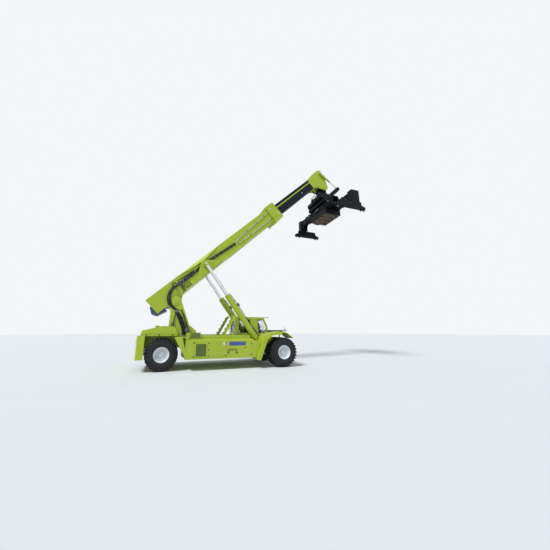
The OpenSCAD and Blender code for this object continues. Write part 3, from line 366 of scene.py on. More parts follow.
def bare_metal(name, colour, roughness):
    """Ground or plated steel: metallic, with fine drawn marks."""
    metal = Finish(name, Metallic=1.0)
    marks = metal.noise(40.0, 4.0)
    metal.drive("Roughness", metal.spread(marks, roughness * 0.7, roughness * 1.4))
    darker = [c * 0.82 for c in linear(colour)[:3]] + [1.0]
    metal.drive("Base Color", metal.mix(marks, linear(colour), darker))


def moulded(name, colour, other, rough, grain=120.0, relief=0.08, cloud=(7.0, 4.0, 0.5), **constants):
    """Moulded plastic or rubber: two close tones in soft clouds, with a fine grain; dust also varies the gloss."""
    plastic = Finish(name, **constants)
    clouds = plastic.noise(*cloud)
    plastic.drive("Base Color", plastic.mix(clouds, linear(colour), linear(other)))
    if isinstance(rough, tuple):
        plastic.drive("Roughness", plastic.spread(clouds, *rough))
    else:
        plastic.shader.inputs["Roughness"].default_value = rough
    plastic.bump(plastic.noise(grain, 2.0), relief)


def safety_glass(name):
    """Laminated cab glass: clear, faintly green, mirror smooth."""
    glass = Finish(name, Base_Color=linear("#dbe9e4"), Transmission_Weight=1.0, IOR=1.1, Alpha=0.35)
    glass.drive("Roughness", glass.spread(glass.noise(5.0, 5.0), 0.0, 0.06))


def seat_cloth(name):
    """Woven seat fabric over foam: dark, with a 3 mm twill drawn at 8 mm so that it shows."""
    cloth = Finish(name, Roughness=0.92, Sheen_Weight=0.3)
    weave = cloth.times(cloth.wave(40.0, "X", 0.6), cloth.wave(40.0, "Y", 0.6))
    cloth.drive("Base Color", cloth.mix(weave, linear("#1c1d20"), linear("#3a3c42")))
    cloth.bump(weave, 0.3)


def lamp_glass(name, colour, glow=0.0):
    """Prismatic lamp lens: clear ribbed plastic over a bright reflector."""
    lens = Finish(name, Base_Color=linear(colour), Roughness=0.12, Coat_Weight=0.8)
    lens.bump(lens.wave(28.0, "Y"), 0.4, 0.003)
    if glow:
        lens.shader.inputs["Emission Color"].default_value = linear(colour)
        lens.shader.inputs["Emission Strength"].default_value = glow


def tread_plate(name):
    """Painted chequer plate: raised lozenges at a 34 mm pitch over navy enamel."""
    plate = Finish(name, Roughness=0.45, Metallic=0.3)
    quarter = (0, 0, math.radians(45))
    turned = plate.add("Mapping", {"Vector": plate.spot}, in_Rotation=quarter).outputs["Vector"]
    lozenge = plate.times(*(plate.wave(13.0, way, vector=turned) for way in "XY"))
    raised = plate.spread(lozenge, 0.0, 1.0, 0.5, 0.62)
    plate.drive("Base Color", plate.mix(raised, linear("#16222f"), linear("#4a5663")))
    plate.bump(raised, 0.5, 0.003)


# ---------------------------------------------------------------- settings

class StackerStageSettings(bpy.types.PropertyGroup):
    lens: FloatProperty(name="Lens", description="Focal length in millimetres", default=15.379, min=8, max=80)
    sun: FloatProperty(name="Key light", description="Strength of the soft key light", default=2.5, min=0, max=20)
    sky: FloatProperty(
        name="Sky light", description="Strength of the pale surround on the object", default=0.45, min=0, max=5
    )
    floor: StringProperty(name="Floor colour", description="sRGB hex colour of the floor", default="#dfe3e7")


class StackerPaintSettings(bpy.types.PropertyGroup):
    lime: StringProperty(name="Lime", description="sRGB hex colour of the body paint", default="#b2c52a")
    lime_shade: StringProperty(name="Lime, darker", description="sRGB hex colour of darker areas", default="#a0b524")
    navy: StringProperty(name="Navy", description="sRGB hex colour of the inner boom", default="#081724")
    black: StringProperty(name="Black", description="sRGB hex colour of the spreader", default="#080b10")


class StackerTyreSettings(bpy.types.PropertyGroup):
    lugs: IntProperty(name="Lugs", description="Tread lugs on each side of a tyre", default=28, min=12, max=60)
    groove: FloatProperty(
        name="Groove depth", description="Depth of the tread in millimetres", default=46.0, min=5, max=60
    )


# ---------------------------------------------------------------- operators

class STACKER_OT_stage(bpy.types.Operator):
    """Adds the camera, the soft lights, the pale surround and the floor"""

    bl_idname = "stacker.stage"
    bl_label = "Stage and Camera"

    def execute(self, context):
        settings = context.scene.stacker_stage
        scene = context.scene
        scene.view_settings.view_transform = "Standard"
        camera = bpy.data.cameras.new("Camera")
        camera.lens = settings.lens
        camera.sensor_width = 36
        camera.shift_x, camera.shift_y = EYE_SHIFT
        camera.clip_start, camera.clip_end = 0.1, 500
        eye = bpy.data.objects.new("Camera", camera)
        eye.location = EYE
        eye.rotation_euler = (math.radians(90 + EYE_PITCH), 0, math.radians(EYE_TURN))
        scene.collection.objects.link(eye)
        scene.camera = eye

        key = bpy.data.lights.new("Key", "SUN")
        key.energy = settings.sun
        key.angle = math.radians(KEY_WIDTH)
        lamp = bpy.data.objects.new("Key", key)
        lamp.rotation_euler = (math.radians(KEY_TILT), 0, math.radians(KEY_TURN))
        scene.collection.objects.link(lamp)

        # the surround shows pale to the camera, in gloss and through glass, and lights the rest more softly
        world = bpy.data.worlds.new("Surround")
        world.use_nodes = True
        tree = world.node_tree
        tree.nodes.clear()
        soft = add_node(tree, "ShaderNodeBackground", in_Color=linear("#eef3f8"), in_Strength=settings.sky)
        shown = add_node(tree, "ShaderNodeBackground", in_Color=linear("#f4f6f8"), in_Strength=1.0)
        rays = add_node(tree, "ShaderNodeLightPath").outputs
        seen = rays["Is Camera Ray"]
        for ray in ("Is Glossy Ray", "Is Transmission Ray"):
            seen = add_node(tree, "ShaderNodeMath", {0: seen, 1: rays[ray]}, operation="MAXIMUM").outputs["Value"]
        links = {0: seen, 1: soft.outputs["Background"], 2: shown.outputs["Background"]}
        mixed = add_node(tree, "ShaderNodeMixShader", links)
        add_node(tree, "ShaderNodeOutputWorld", {"Surface": mixed.outputs["Shader"]})
        scene.world = world

        screed = Finish("Floor of pale screed", Roughness=0.9)
        screed.drive("Base Color", screed.mix(screed.noise(0.4, 4.0), linear(settings.floor), linear("#e6e9ec")))
        (mesh,) = new_meshes(1)
        bmesh.ops.create_circle(mesh, cap_ends=True, segments=96, radius=FLOOR_R)
        bmesh.ops.translate(mesh, verts=mesh.verts, vec=(0, 0, -0.002))
        add_piece(mesh, "Floor", None, "Floor of pale screed")
        return {"FINISHED"}


FINISH_OF = {
    "painted steel, lime": (
        "chassis_frame counterweight rear_hood boom_tower side_box_right side_box_left walkway_deck front_fenders "
        "cab_shell cab_roof access_ladders cab_door lift_barrel_right lift_barrel_left boom_outer boom_head "
        "damper_barrels"
    ),
    "painted steel, grey": "engine_block drive_axle steer_axle steer_knuckle_right steer_knuckle_left",
    "painted steel, black": "rotator spreader_frame spreader_arm_right spreader_arm_left spreader_hanger",
    "painted steel, navy": "boom_inner front_platform",
    "chromed steel": "lift_rod_right lift_rod_left damper_rods",
    "tyre rubber": "rear_wheel_right rear_wheel_left front_wheels_right front_wheels_left",
    "hose rubber": "tower_hoses boom_hoses pivot_hoses",
    "forged steel": " ".join(n for n in CAD if n.startswith("twistlock")),
    "safety glass": "cab_glass",
    "seat cloth": "operator_seat",
    "dark plastic": "cab_controls",
    "lamp housing": "work_lamps",
}


class STACKER_OT_finishes(bpy.types.Operator):
    """Makes the materials and gives each CAD node its own"""

    bl_idname = "stacker.finishes"
    bl_label = "Paint and Materials"

    def execute(self, context):
        paint = context.scene.stacker_paint
        # name, colour, darker areas, roughness, dust, and if needed clear coat and specular level
        for name, *look in (
            ("painted steel, lime", paint.lime, paint.lime_shade, 0.32, 0.25),
            ("painted steel, grey", "#44473f", "#35382f", 0.5, 0.5),
            ("painted steel, black", paint.black, "#080b10", 0.55, 0.05, 0.0, 0.18),
            ("painted steel, navy", paint.navy, "#081622", 0.5, 0.05, 0.0, 0.18),
            # dark blue lightened to slate blue: a painted sky reflection on the belly cover and the head hoses
            ("painted steel, slate blue", "#3c4c7c", "#33426e", 0.45, 0.2),
            ("painted steel, rim grey", "#dfe5eb", "#cdd5de", 0.4, 0.3),
            # darker lime for the louvres and screens: painted shade between the slats
            ("painted steel, grille green", "#66822a", "#566f24", 0.45, 0.3),
            ("painted steel, plate blue", "#3c57a0", "#344d92", 0.35, 0.2),
            ("painted steel, disc pale", "#e6d9e2", "#dccdd8", 0.35, 0.2),
            ("painted steel, dusty", "#8d7c6f", "#75675c", 0.6, 0.5),
            ("cast iron, grey", "#5c6268", "#4c5157", 0.5, 0.2),
        ):
            painted_steel(name, *look)
        bare_metal("chromed steel", "#eff2f5", 0.1)
        bare_metal("zinc-plated pipe", "#c4cad0", 0.32)
        bare_metal("ground pin steel", "#dde2e8", 0.28)
        bare_metal("forged steel", "#8c9197", 0.45)
        # carbon-black tyre rubber, greyed by dust, with a moulding grain of about 4 mm
        worn = (0.72, 0.92)
        moulded("tyre rubber", "#0f1116", "#212227", worn, 260.0, 0.12, cloud=(9.0, 7.0, 0.65), IOR=1.52)
        moulded("tyre rubber, dusty", "#4b4742", "#38352f", 0.9, grain=60.0)
        moulded("hose rubber", "#0f1013", "#1b1d21", 0.55)
        moulded("dark plastic", "#1f2125", "#2b2e33", 0.5)
        moulded("lamp housing", "#c9ced2", "#b5babf", 0.4)
        moulded("nylon wear pad", "#d9d6cc", "#c8c4b8", 0.45)
        moulded("cab lining", "#50555b", "#454a50", 0.6)
        safety_glass("safety glass")
        seat_cloth("seat cloth")
        lamp_glass("lamp lens, clear", "#e8eef2", glow=0.15)
        lamp_glass("lamp lens, red", "#a0201c")
        tread_plate("chequer plate")
        finish_of = {node: finish for finish, nodes in FINISH_OF.items() for node in nodes.split()}
        if set(finish_of) != set(CAD):
            raise RuntimeError("finish without node or node without finish: " + str(set(finish_of) ^ set(CAD)))
        for node, finish in finish_of.items():
            CAD[node].data.materials.clear()
            CAD[node].data.materials.append(FINISHES[finish])
        return {"FINISHED"}


def add_tyre(mesh, centre_x, centre_y, lugs, groove):
    """One tyre: a carcass with bulged walls and two rows of slanted lugs that wrap over the shoulders."""
    base = TYRE_R - groove
    half = TYRE_W / 2
    # section of the wall: radius, share of the half width
    wall = [
        (372, 0.74), (388, 0.86), (412, 0.93), (424, 0.945), (436, 0.945), (446, 0.965), (520, 0.985), (610, 0.965),
        (670, 0.90), (716, 0.80), (752, 0.68), (base, 0.56),
    ]
    near = [(r, -half * share) for r, share in wall]
    far = [(r, half * share) for r, share in wall[::-1]]
    centre = (centre_x, centre_y, TYRE_R)
    add_turned(mesh, near + [(base + 4, 0)] + far, centre, steps=96)
    # dust sits on the tread floor and on the bead
    for face in mesh.faces:
        spot = DRAWING.inverted() @ face.calc_center_median()
        reach = math.hypot(spot.x - centre_x, spot.z - TYRE_R)
        if abs(spot.y - centre_y) < half and (reach > TREAD_FLOOR_R or reach < BEAD_R):
            face.material_index = 1
    spin = DRAWING @ Matrix.Translation(Vector(centre))
    # outline of a lug, from the middle of the tread over the shoulder: share of the half width, radius
    section = [
        (0.05, base - 14), (0.05, TYRE_R), (0.36, TYRE_R), (0.66, TYRE_R - 1), (0.86, TYRE_R - 9),
        (0.955, TYRE_R - 30), (0.985, 742), (0.985, 700), (0.955, 664), (0.84, 664), (0.70, 720), (0.50, base - 14),
        (0.30, base - 14),
    ]
    for row in SIDES:
        for k in range(lugs):
            angle = (k + (0.5 if row > 0 else 0)) * math.tau / lugs
            verts = [mesh.verts.new(Vector((-LUG_W / 2, row * share * half, r))) for share, r in section]
            face = mesh.faces.new(verts if row > 0 else verts[::-1])
            made = bmesh.ops.extrude_face_region(mesh, geom=[face])
            flank = [g for g in made["geom"] if isinstance(g, bmesh.types.BMVert)]
            bmesh.ops.translate(mesh, verts=flank, vec=(LUG_W, 0, 0))
            verts += flank
            for v in verts:
                # the lug leans back from the middle to the shoulder, and follows the round of the tyre
                lean = LUG_LEAN * min(abs(v.co.y) / half, 0.8) - 30
                v.co.x = v.co.x * (0.92 if v.co.z > base else 1.04) + lean
                if v.co.z > base:
                    v.co.z = min(math.sqrt(max(v.co.z**2 - v.co.x**2, 1)), TYRE_R - 0.4)
            bmesh.ops.recalc_face_normals(mesh, faces=list({f for v in verts for f in v.link_faces}))
            bmesh.ops.transform(mesh, matrix=spin @ Matrix.Rotation(angle, 4, "Y"), verts=verts)


def add_rim(mesh, centre_x, centre_y, side):
    """One wheel rim with its flange, gutter and dished disc, its face towards the given side."""
    half = TYRE_W / 2
    # the disc by radius and offset, then the flange, the well and the back by radius and share of the half width
    disc = [
        (0, 96), (96, 96), (108, DISC_FACE), (196, DISC_FACE), (222, 104), (246, 104), (262, 88), (300, 88),
        (314, 128), (330, 140),
    ]
    well = [
        (330, 0.70), (352, 0.76), (374, 0.84), (386, 0.90), (378, 0.93), (360, 0.86), (346, 0.72), (344, -0.62),
        (384, -0.80), (370, -0.84), (310, -0.6),
    ]
    profile = disc + [(r, half * share) for r, share in well] + [(306, 20), (0, 20)]
    add_turned(mesh, [(r, side * offset) for r, offset in profile], (centre_x, centre_y, TYRE_R), steps=72)


class STACKER_OT_wheels(bpy.types.Operator):
    """Builds the tyres with their tread, the rims and the wheel nuts"""

    bl_idname = "stacker.wheels"
    bl_label = "Wheels and Tyres"

    def execute(self, context):
        settings = context.scene.stacker_tyre
        # end, words of its body and node, x, places across
        for end, wheel, x, places in (("rear", "wheel", 0, [REAR_Y]), ("front", "wheels", WHEELBASE, TWIN_YS)):
            for s, hand in HANDS:
                name = end + "_" + hand
                body = wheel + "_" + name
                rubber, steel, nuts = new_meshes(3)
                for y in places:
                    add_tyre(rubber, x, s * y, settings.lugs, settings.groove)
                    add_rim(steel, x, s * y, s)
                # nuts on their studs, standing on the disc
                for across, up in circle(NUTS, NUT_RING, math.pi / NUTS):
                    foot = (x + across, s * (places[0] + DISC_FACE), TYRE_R + up)
                    add_bar(nuts, foot, (0, s * 16, 0), 15, 6)
                    add_bar(nuts, foot, (0, s * 26, 0), 8, 8)
                if len(places) > 1:
                    # spacer drum between the twins
                    run = places[0] - places[1] - 40
                    add_bar(steel, (x, s * (places[1] + 20), TYRE_R), (0, s * run, 0), 262, 48)
                both = ("tyre rubber", "tyre rubber, dusty")
                node = end + "_" + wheel + "_" + hand
                add_piece(rubber, "tyre_" + name, body, both, 35, slot="tyre_rubber", replaces=(node,))
                add_piece(steel, "rim_" + name, body, "painted steel, rim grey", 30)
                add_piece(nuts, "wheel_nuts_" + name, body, "forged steel")
        return {"FINISHED"}


class STACKER_OT_body(bpy.types.Operator):
    """Adds latches, grille colour, blank plates, brackets and lamps to the chassis body"""

    bl_idname = "stacker.body"
    bl_label = "Body Fittings"

    def execute(self, context):
        latches, hinges, steps, plates, discs, lamps, lenses, red, rings = new_meshes(9)
        screen, intake, bolts = new_meshes(3)
        for s in SIDES:
            face = s * SIDE_FACE
            # paddle latches and hinges of the side doors: x, z
            for x, z in ((1570, 1410), (1570, 720), (4720, 1330), (4720, 760)):
                add_box(latches, (x - 26, face - s * 4, z - 36), (x + 26, face + s * 7, z + 36))
                add_box(latches, (x - 14, face, z - 24), (x + 14, face + s * 14, z + 8))
            joints = ((2330, 1380), (2330, 1030), (2330, 730), (3250, 1380), (3250, 730), (4350, 1400), (4350, 1120))
            for x, z in joints:
                add_bar(hinges, (x, face + s * 4, z - 34), (0, 0, 68), 11, 12)
                add_box(hinges, (x - 30, face - s * 3, z - 24), (x + 30, face + s * 4, z + 24))
            # hanging step folded up on the side: a bent bar with two feet
            y = face + s * 12
            add_tube(steps, [
                (3392, y, 868), (3398, y, 960), (3440, y, 1042), (3480, y, 1050), (3780, y, 1050), (3820, y, 1042),
                (3862, y, 960), (3868, y, 868),
            ], 13)
            for x in (3330, 3810):
                add_box(steps, (x, face, 850), (x + 120, face + s * 26, 882))
            # hood latches
            for x in (-790, -180, 480):
                add_box(latches, (x - 40, s * (HOOD_Y - 2), 1792), (x + 40, s * (HOOD_Y + 14), 1840))
            # blank plate and blank disc
            add_box(plates, (3450, face - s * 2, 1232), (4375, face + s * 3, 1440))
            add_bar(discs, (3180, face - s * 2, 1345), (0, s * 5, 0), 92, 48)

            # tail lamps in the pockets of the counterweight
            add_box(lamps, (-1288, s * 788, 1428), (-1252, s * 1052, 1532))
            add_box(red, (-1296, s * 796, 1436), (-1286, s * 916, 1524))
            add_box(lenses, (-1296, s * 924, 1436), (-1286, s * 1044, 1524))
            # lamps on the posts of the front mudguards
            y = s * 2023
            add_bar(rings, (6796, y, 2050), (16, 0, 0), 72, 40, end_radius=70)
            add_bar(lenses, (6806, y, 2050), (12, 0, 0), 60, 40, end_radius=52)
            add_bar(rings, (6676, y, 2050), (18, 0, 0), 40, 40, end_radius=62)
            add_box(rings, (6688, y - 20, 2118), (6760, y + 20, 2128))
            # screen of the intake boxes with its wires, its darker green a painted shade
            add_box(intake, (1400, s * 1790, 1625), (1860, s * 1796, 1905))
            for k in range(12):
                add_bar(intake, (1420 + 38 * k, s * 1798, 1630), (0, 0, 270), 5, 6)

            # bolts of the mudguards' braces and tops
            out = (0, s, 0)
            for x, z in ((5126, 620), (5226, 880), (5336, 1160), (5446, 1420)):
                add_bolts(bolts, [x], [s * 2138], [z], out, 13, 10)
            add_bolts(bolts, (6320, 6560, 6800, 6980), [s * 1060], [2060], UP, 12, 9)
            # foot, rear edge and pin keeper of the tower
            add_bolts(bolts, (330, 640, 950, 1260, 1570), [s * 791], [1830], out, 20, 15)
            for z in (1990, 2260, 2530, 2800):
                add_bolts(bolts, [330 + (z - 1990) * 0.05], [s * 791], [z], out, 14, 10)
            bolt_circle(bolts, (PIVOT[0], s * 834, PIVOT[1]), s, 62, 4, 12, 9, start=0.4)
            add_bolts(bolts, (PIVOT[0] - 34, PIVOT[0] + 34), [s * 826], [PIVOT[1] - 154], out, 12, 9)
            # keepers of the lift cylinders' lower pins
            bolt_circle(bolts, (LIFT_LOW[0], s * 1105, LIFT_LOW[1]), s, 100, 6, 12, 10)
        add_bolts(bolts, [-1120], (-1300, -1000, 1000, 1300), [1760], UP, 22, 16)
        # slot screen under the rear hood, seen through its openings
        add_plate(screen, [(-1000, 2000), (-380, 2145), (-384, 2151), (-1004, 2006)], -1260, 1260)
        add_pieces(
            "chassis",
            (latches, "door_latches", "dark plastic", 30, 3),
            (hinges, "door_hinges", "dark plastic", 30, 2),
            (steps, "hanging_steps", "painted steel, grey", 30),
            (plates, "blank_plates", "painted steel, plate blue", None, 2),
            (discs, "blank_discs", "painted steel, disc pale", 30),
            (lamps, "tail_lamp_housings", "dark plastic", None, 4),
            (red, "tail_lamp_lenses", "lamp lens, red", None, 3),
            (lenses, "lamp_lenses", "lamp lens, clear", 30, 2),
            (rings, "lamp_rings", "dark plastic", 30),
            (screen, "screens", "dark plastic"),
            (intake, "intake_screens", "painted steel, grille green"),
            (bolts, "body_bolts", "forged steel", 30),
        )
        # grille slats in their recess take a darker green: painted shade between the louvres
        for node in ("side_box_right", "side_box_left"):
            paint_faces(
                node,
                "painted steel, grille green",
                lambda at, way: 1678 < at.x < 2202 and 718 < at.z < 1342 and 1700 < abs(at.y) < 1848,
            )
        paint_faces("front_platform", "chequer plate", lambda at, way: way.z > 0.9 and at.z > 2050)
        return {"FINISHED"}


class STACKER_OT_tower(bpy.types.Operator):
    """Adds the clamps, couplings and hydraulic lines of the tower"""

    bl_idname = "stacker.tower"
    bl_label = "Tower Hydraulics"

    def execute(self, context):
        clamps, fittings, lines, blocks, ends, unions, bulkhead = new_meshes(7)
        y = TOWER_HOSE_Y
        # clamp bars over the six hoses: x of the first hose, z
        for x, z in ((985, 1900), (905, 2230), (806, 2460), (690, 2740)):
            add_box(clamps, (x - 30, y - 52, z - 22), (x + 300, y - 34, z + 22))
            for end in (x - 22, x + 280):
                add_box(clamps, (end - 12, y - 50, z - 16), (end + 12, y + 18, z + 16))
                add_bolts(fittings, [end], [y - 52], [z], (0, -1, 0), 10, 9)
        for k in range(6):
            # crimped ends where the hoses come out of the deck and where they meet the turning hoses
            add_bar(fittings, (1000 + 44 * k, y, 1775), (-4, -2, 75), 23, 16, end_radius=21)
            add_bar(fittings, (500 + 42 * k, y - 2, 3052), (0, 0, 64), 22, 16)
            # couplings of the turning hoses, which ride with the boom
            add_bar(ends, (500 + 42 * k, y - 2, 3124), (0, 0, 56), 21, 16)
            add_bar(unions, (462 + 30 * k, -607, 4595), (38, 0, 23), 20, 16)
            add_bar(unions, (498 + 30 * k, -607, 4617), (26, 0, 16), 22, 6)
        # bulkhead on the boom that takes the upper ends of the turning hoses
        add_box(bulkhead, (486, -640, 4622), (700, -560, 4668))
        for k in range(4):
            # pilot lines that run beside the hoses
            add_tube(lines, [
                (1300 + 26 * k, y - 12, 1790), (1262 + 24 * k, y - 30, 2040), (1120 + 22 * k, y - 46, 2420),
                (1010 + 22 * k, y - 30, 2760), (880 + 22 * k, y - 14, 3050), (800 + 20 * k, y - 8, 3200),
            ], 8, fineness=3)
            add_tube(lines, [
                (420 + 24 * k, y - 8, 1800), (430 + 22 * k, y - 20, 2150), (470 + 20 * k, y - 34, 2560),
                (520 + 20 * k, y - 20, 2900), (640 + 18 * k, y - 10, 3180),
            ], 7, fineness=3)
            # solenoids and ports of the manifold low on the tower
            x = 1150 + 48 * k
            add_bar(blocks, (x, -850, 2160), (0, 0, 80), 19, 20)
            for z in (2010, 2080):
                add_bar(fittings, (x, -900, z), (0, -30, 0), 15, 6)
        add_box(blocks, (1120, -900, 1960), (1330, -796, 2160))
        add_box(blocks, (360, -852, 2300), (470, -796, 2470))
        add_pieces(
            "chassis",
            (clamps, "hose_clamps", "painted steel, black", None, 3),
            (fittings, "hose_fittings", "forged steel", 40),
            (lines, "pilot_lines", "hose rubber", 60),
            (blocks, "tower_valves", "cast iron, grey", 30, 4),
        )
        add_pieces(
            "boom",
            (ends, "turning_hose_ends", "forged steel", 40),
            (unions, "turning_hose_unions", "forged steel", 40),
            (bulkhead, "turning_hose_bulkhead", "cast iron, grey", 30, 5),
        )
        return {"FINISHED"}


class STACKER_OT_boom(bpy.types.Operator):
    """Adds pin caps, bolts, pads, pipe clamps and guide rail colour to the boom"""

    bl_idname = "stacker.boom"
    bl_label = "Boom Fittings"

    def execute(self, context):
        bolts, caps, clamps, wear, pins, fittings, lines = new_meshes(7)
        m = ALONG_BOOM
        collar = (8960, 9110, 9430, 9580)
        for s in SIDES:
            out = (0, s, 0)
            # caps of the lift pins, and ground pins on the collar and on the inner boom
            add_bar(caps, (LIFT_PIN[0], s * 816, LIFT_PIN[1]), (0, s * 10, 0), 92, 48, m)
            for x, z in ((9140, 1000), (9500, 360)):
                add_bar(caps, (x, s * 680, z), (0, s * 12, 0), 58, 40, m)
            add_bar(pins, (12650, s * 440, 500), (0, s * 10, 0), 44, 32, m)
            # bolts of the wear pads on the collar's sides, top and belly
            across = (s * 150, s * 360, s * 560)
            add_bolts(bolts, collar, [s * 681], (120, 260, 980, 1120), out, 15, 11, m)
            add_bolts(bolts, collar, across, [1301], UP, 15, 11, m)
            add_bolts(bolts, collar, across, [-21], (0, 0, -1), 15, 11, m)
            # bolts along the welded bands, round the pivot lugs and on the rear closing plate
            add_bolts(bolts, (-1090, -360, 4440), [s * 567], (220, 420, 640, 860, 1080), out, 10, 8, m)
            bolt_circle(bolts, (0, s * 621, 0), s, 205, 6, 10, 8, m)
            across = [s * y for y in (60, 180, 300, 420, 520)]
            add_bolts(bolts, [-1151], across, (760, 1100), (-1, 0, 0), 12, 9, m)
            # wear pads that show at the mouth
            for z in (300, 980):
                add_box(wear, (9672, s * 446, z - 60), (9690, s * 540, z + 60), m)
        # straps that hold the pipes to the boom on the right side
        threes = ((1230, 634), (1700, 606), (3740, 636), (4100, 604), (4900, 528), (5240, 500))
        singles = ((5900, 405), (6600, 390), (7800, 370), (8700, 361), (6600, 760), (7600, 810), (8400, 850))
        # x and z of the lowest pipe, face, lower and upper end, places of the feet, half height of a foot
        for places, face, low, high, feet, half in (
            (threes, -616, -34, 160, (-22, 148), 10),
            (singles, -618, -30, 30, (-28, 28), 6),
        ):
            for x, z in places:
                add_box(clamps, (x - 18, face, z + low), (x + 18, -606, z + high), m)
                for foot in feet:
                    add_box(clamps, (x - 18, -616, z + foot - half), (x + 18, -562, z + foot + half), m)

        # fittings of the valve block, and the thin lines that follow the pipes
        for k in range(4):
            add_bar(fittings, (800 + 48 * k, -640, 810), (0, 0, 40), 18, 6, m)
            add_bar(fittings, (800 + 48 * k, -640, 620), (0, 0, -34), 18, 6, m)
            add_tube(lines, [
                (800 + 44 * k, -640, 586), (806 + 46 * k, -636, 500), (770 + 56 * k, -602, 380),
                (700 + 62 * k, -590, 200), (690 + 64 * k, -588, 162),
            ], 11, m, 3)
            add_tube(lines, [
                (824 + 40 * k, -640, 850), (850 + 50 * k, -640, 930), (1000 + 60 * k, -600, 930 - 30 * k),
                (1500, -584, 870 - 26 * k), (2000, -584, 860 - 26 * k),
            ], 9, m, 3)
        add_bar(fittings, (870, -688, 720), (0, -14, 0), 34, 24, m)
        bolt_circle(fittings, (870, -689, 720), -1, 46, 6, 8, 6, m)
        # coil of spare hose on its hook
        for k in range(3):
            coil = [(560 + 10 * k + x, -590 - 22 * k, 850 + z) for x, z in circle(8, 118)]
            add_tube(lines, coil, 11, m, 3, cyclic=True)
        add_box(lines, (540, -650, 940), (600, -558, 1000), m)
        add_tube(lines, [(576, -610, 735), (640, -620, 700), (720, -640, 720), (776, -640, 740)], 11, m, 3)
        # nuts of the pipes' couplings
        for k in range(3):
            for x, z in ((1080, 649), (2000, 636), (3620, 632)):
                add_bar(fittings, (x, -584, z + 61 * k), (44, 0, 0), 30, 6, m)
        add_pieces("boom_extension", (pins, "inner_boom_pins", "ground pin steel", 30, 3))
        add_pieces(
            "boom",
            (bolts, "boom_bolts", "painted steel, lime", 30),
            (caps, "lift_pin_caps", "ground pin steel", 30, 4),
            (clamps, "pipe_straps", "painted steel, black", None, 2),
            (wear, "mouth_pads", "nylon wear pad", None, 4),
            (fittings, "boom_fittings", "forged steel", 30),
            (lines, "boom_lines", "hose rubber", 60),
        )
        # the belly cover behind the boom's foot is dark blue sheet, lightened to slate blue as a painted sky
        # reflection; the front pipes are zinc-plated
        slate, zinc, lime = "painted steel, slate blue", "zinc-plated pipe", "painted steel, lime"
        paint_faces("boom_hoses", slate, lambda at, way: at.x < -600 and abs(at.y) < 502, m)
        paint_faces("boom_hoses", zinc, lambda at, way: at.x > 5300, m)
        # lime guide rails on the dark inner boom
        paint_faces("boom_inner", lime, lambda at, way: abs(at.y) > 442 and 765 < at.z < 860, m)
        return {"FINISHED"}


class STACKER_OT_cylinders(bpy.types.Operator):
    """Adds the pipes, glands and pin bolts of the lift cylinders"""

    bl_idname = "stacker.cylinders"
    bl_label = "Lift Cylinder Fittings"

    def execute(self, context):
        for side, name in HANDS:
            m = along_lift(side)
            steel, pipe, dark, cap = new_meshes(4)
            # gland ring with its bolts
            add_bar(dark, (0, 0, 3360), (0, 0, 12), 150, 64, m, 138)
            for x, y in circle(12, 155):
                add_bolts(steel, [x], [y], [3360], UP, 11, 9, m)
            # pipes along the front of the barrel, their saddles and their valve
            out = side * 40
            add_tube(pipe, [
                (168, out, 300), (214, out, 380), (216, out, 900), (216, out, 2000), (216, out, 3000),
                (212, out, 3150), (172, out, 3210),
            ], 17, m)
            short = [(168, -out, 300), (206, -out, 360), (210, -out, 700), (196, -out, 860), (150, -out, 900)]
            add_tube(pipe, short, 15, m)
            for z in (700, 1400, 2100, 2800):
                add_box(dark, (170, out - 30, z - 16), (240, out + 30, z + 16), m)
            add_box(dark, (176, out - 60, 2380), (290, out + 60, 2600), m)
            for z in (2420, 2490, 2560):
                add_bar(dark, (290, out, z), (32, 0, 0), 20, 20, m)
            add_box(steel, (150, out - 42, 262), (206, out + 42, 342), m)
            # grease nipple and hose end at the foot
            add_bar(steel, (0, side * 118, 120), (0, side * 14, 0), 10, 6, m)
            add_tube(pipe, [
                (214, out, 420), (250, side * 70, 300), (250, side * 100, 120), (180, side * 120, -20),
                (60, side * 100, -150),
            ], 18, m)
            add_bar(cap, (0, side * 110, 5671), (0, side * 8, 0), 60, 40, m)
            add_pieces(
                "barrel_" + name,
                (steel, "barrel_fittings_" + name, "forged steel", 30),
                (pipe, "barrel_pipe_" + name, "hose rubber", 60),
                (dark, "barrel_valve_" + name, "cast iron, grey", 30, 3),
            )
            add_pieces("rod_" + name, (cap, "rod_pin_" + name, "ground pin steel", 30))
            paint_faces("lift_rod_" + name, "painted steel, lime", lambda at, way: at.z > 5500, m)
        return {"FINISHED"}


# Pads: frames of the cloth run, voxel in metres, reach of a sewn channel in millimetres and how far it draws in.
CLOTH_FRAMES, PAD_VOXEL, SEAM_REACH, SEAM_DEPTH = 20, 0.007, 26, 0.16


def swell(pad, cap):
    """Blows a pad up with a short cloth run and caps how far each point may move."""
    scene = bpy.context.scene
    start = [v.co.copy() for v in pad.data.vertices]
    cloth = pad.modifiers.new("Cloth", "CLOTH")
    cloth.settings.use_pressure = True
    cloth.settings.uniform_pressure_force = 4
    cloth.settings.effector_weights.gravity = 0
    cloth.settings.quality = 4
    cloth.settings.tension_stiffness = cloth.settings.compression_stiffness = 30
    cloth.settings.bending_stiffness = 2
    cloth.point_cache.frame_start, cloth.point_cache.frame_end = 1, CLOTH_FRAMES
    for number in range(1, CLOTH_FRAMES + 1):
        scene.frame_set(number)
    shaped = pad.evaluated_get(bpy.context.evaluated_depsgraph_get()).to_mesh()
    moved = [v.co.copy() for v in shaped.vertices]
    pad.modifiers.remove(cloth)
    scene.frame_set(1)
    for vertex, old, new in zip(pad.data.vertices, start, moved):
        step = new - old
        if step.length > cap:
            step = step * (cap / step.length)
        vertex.co = old + step


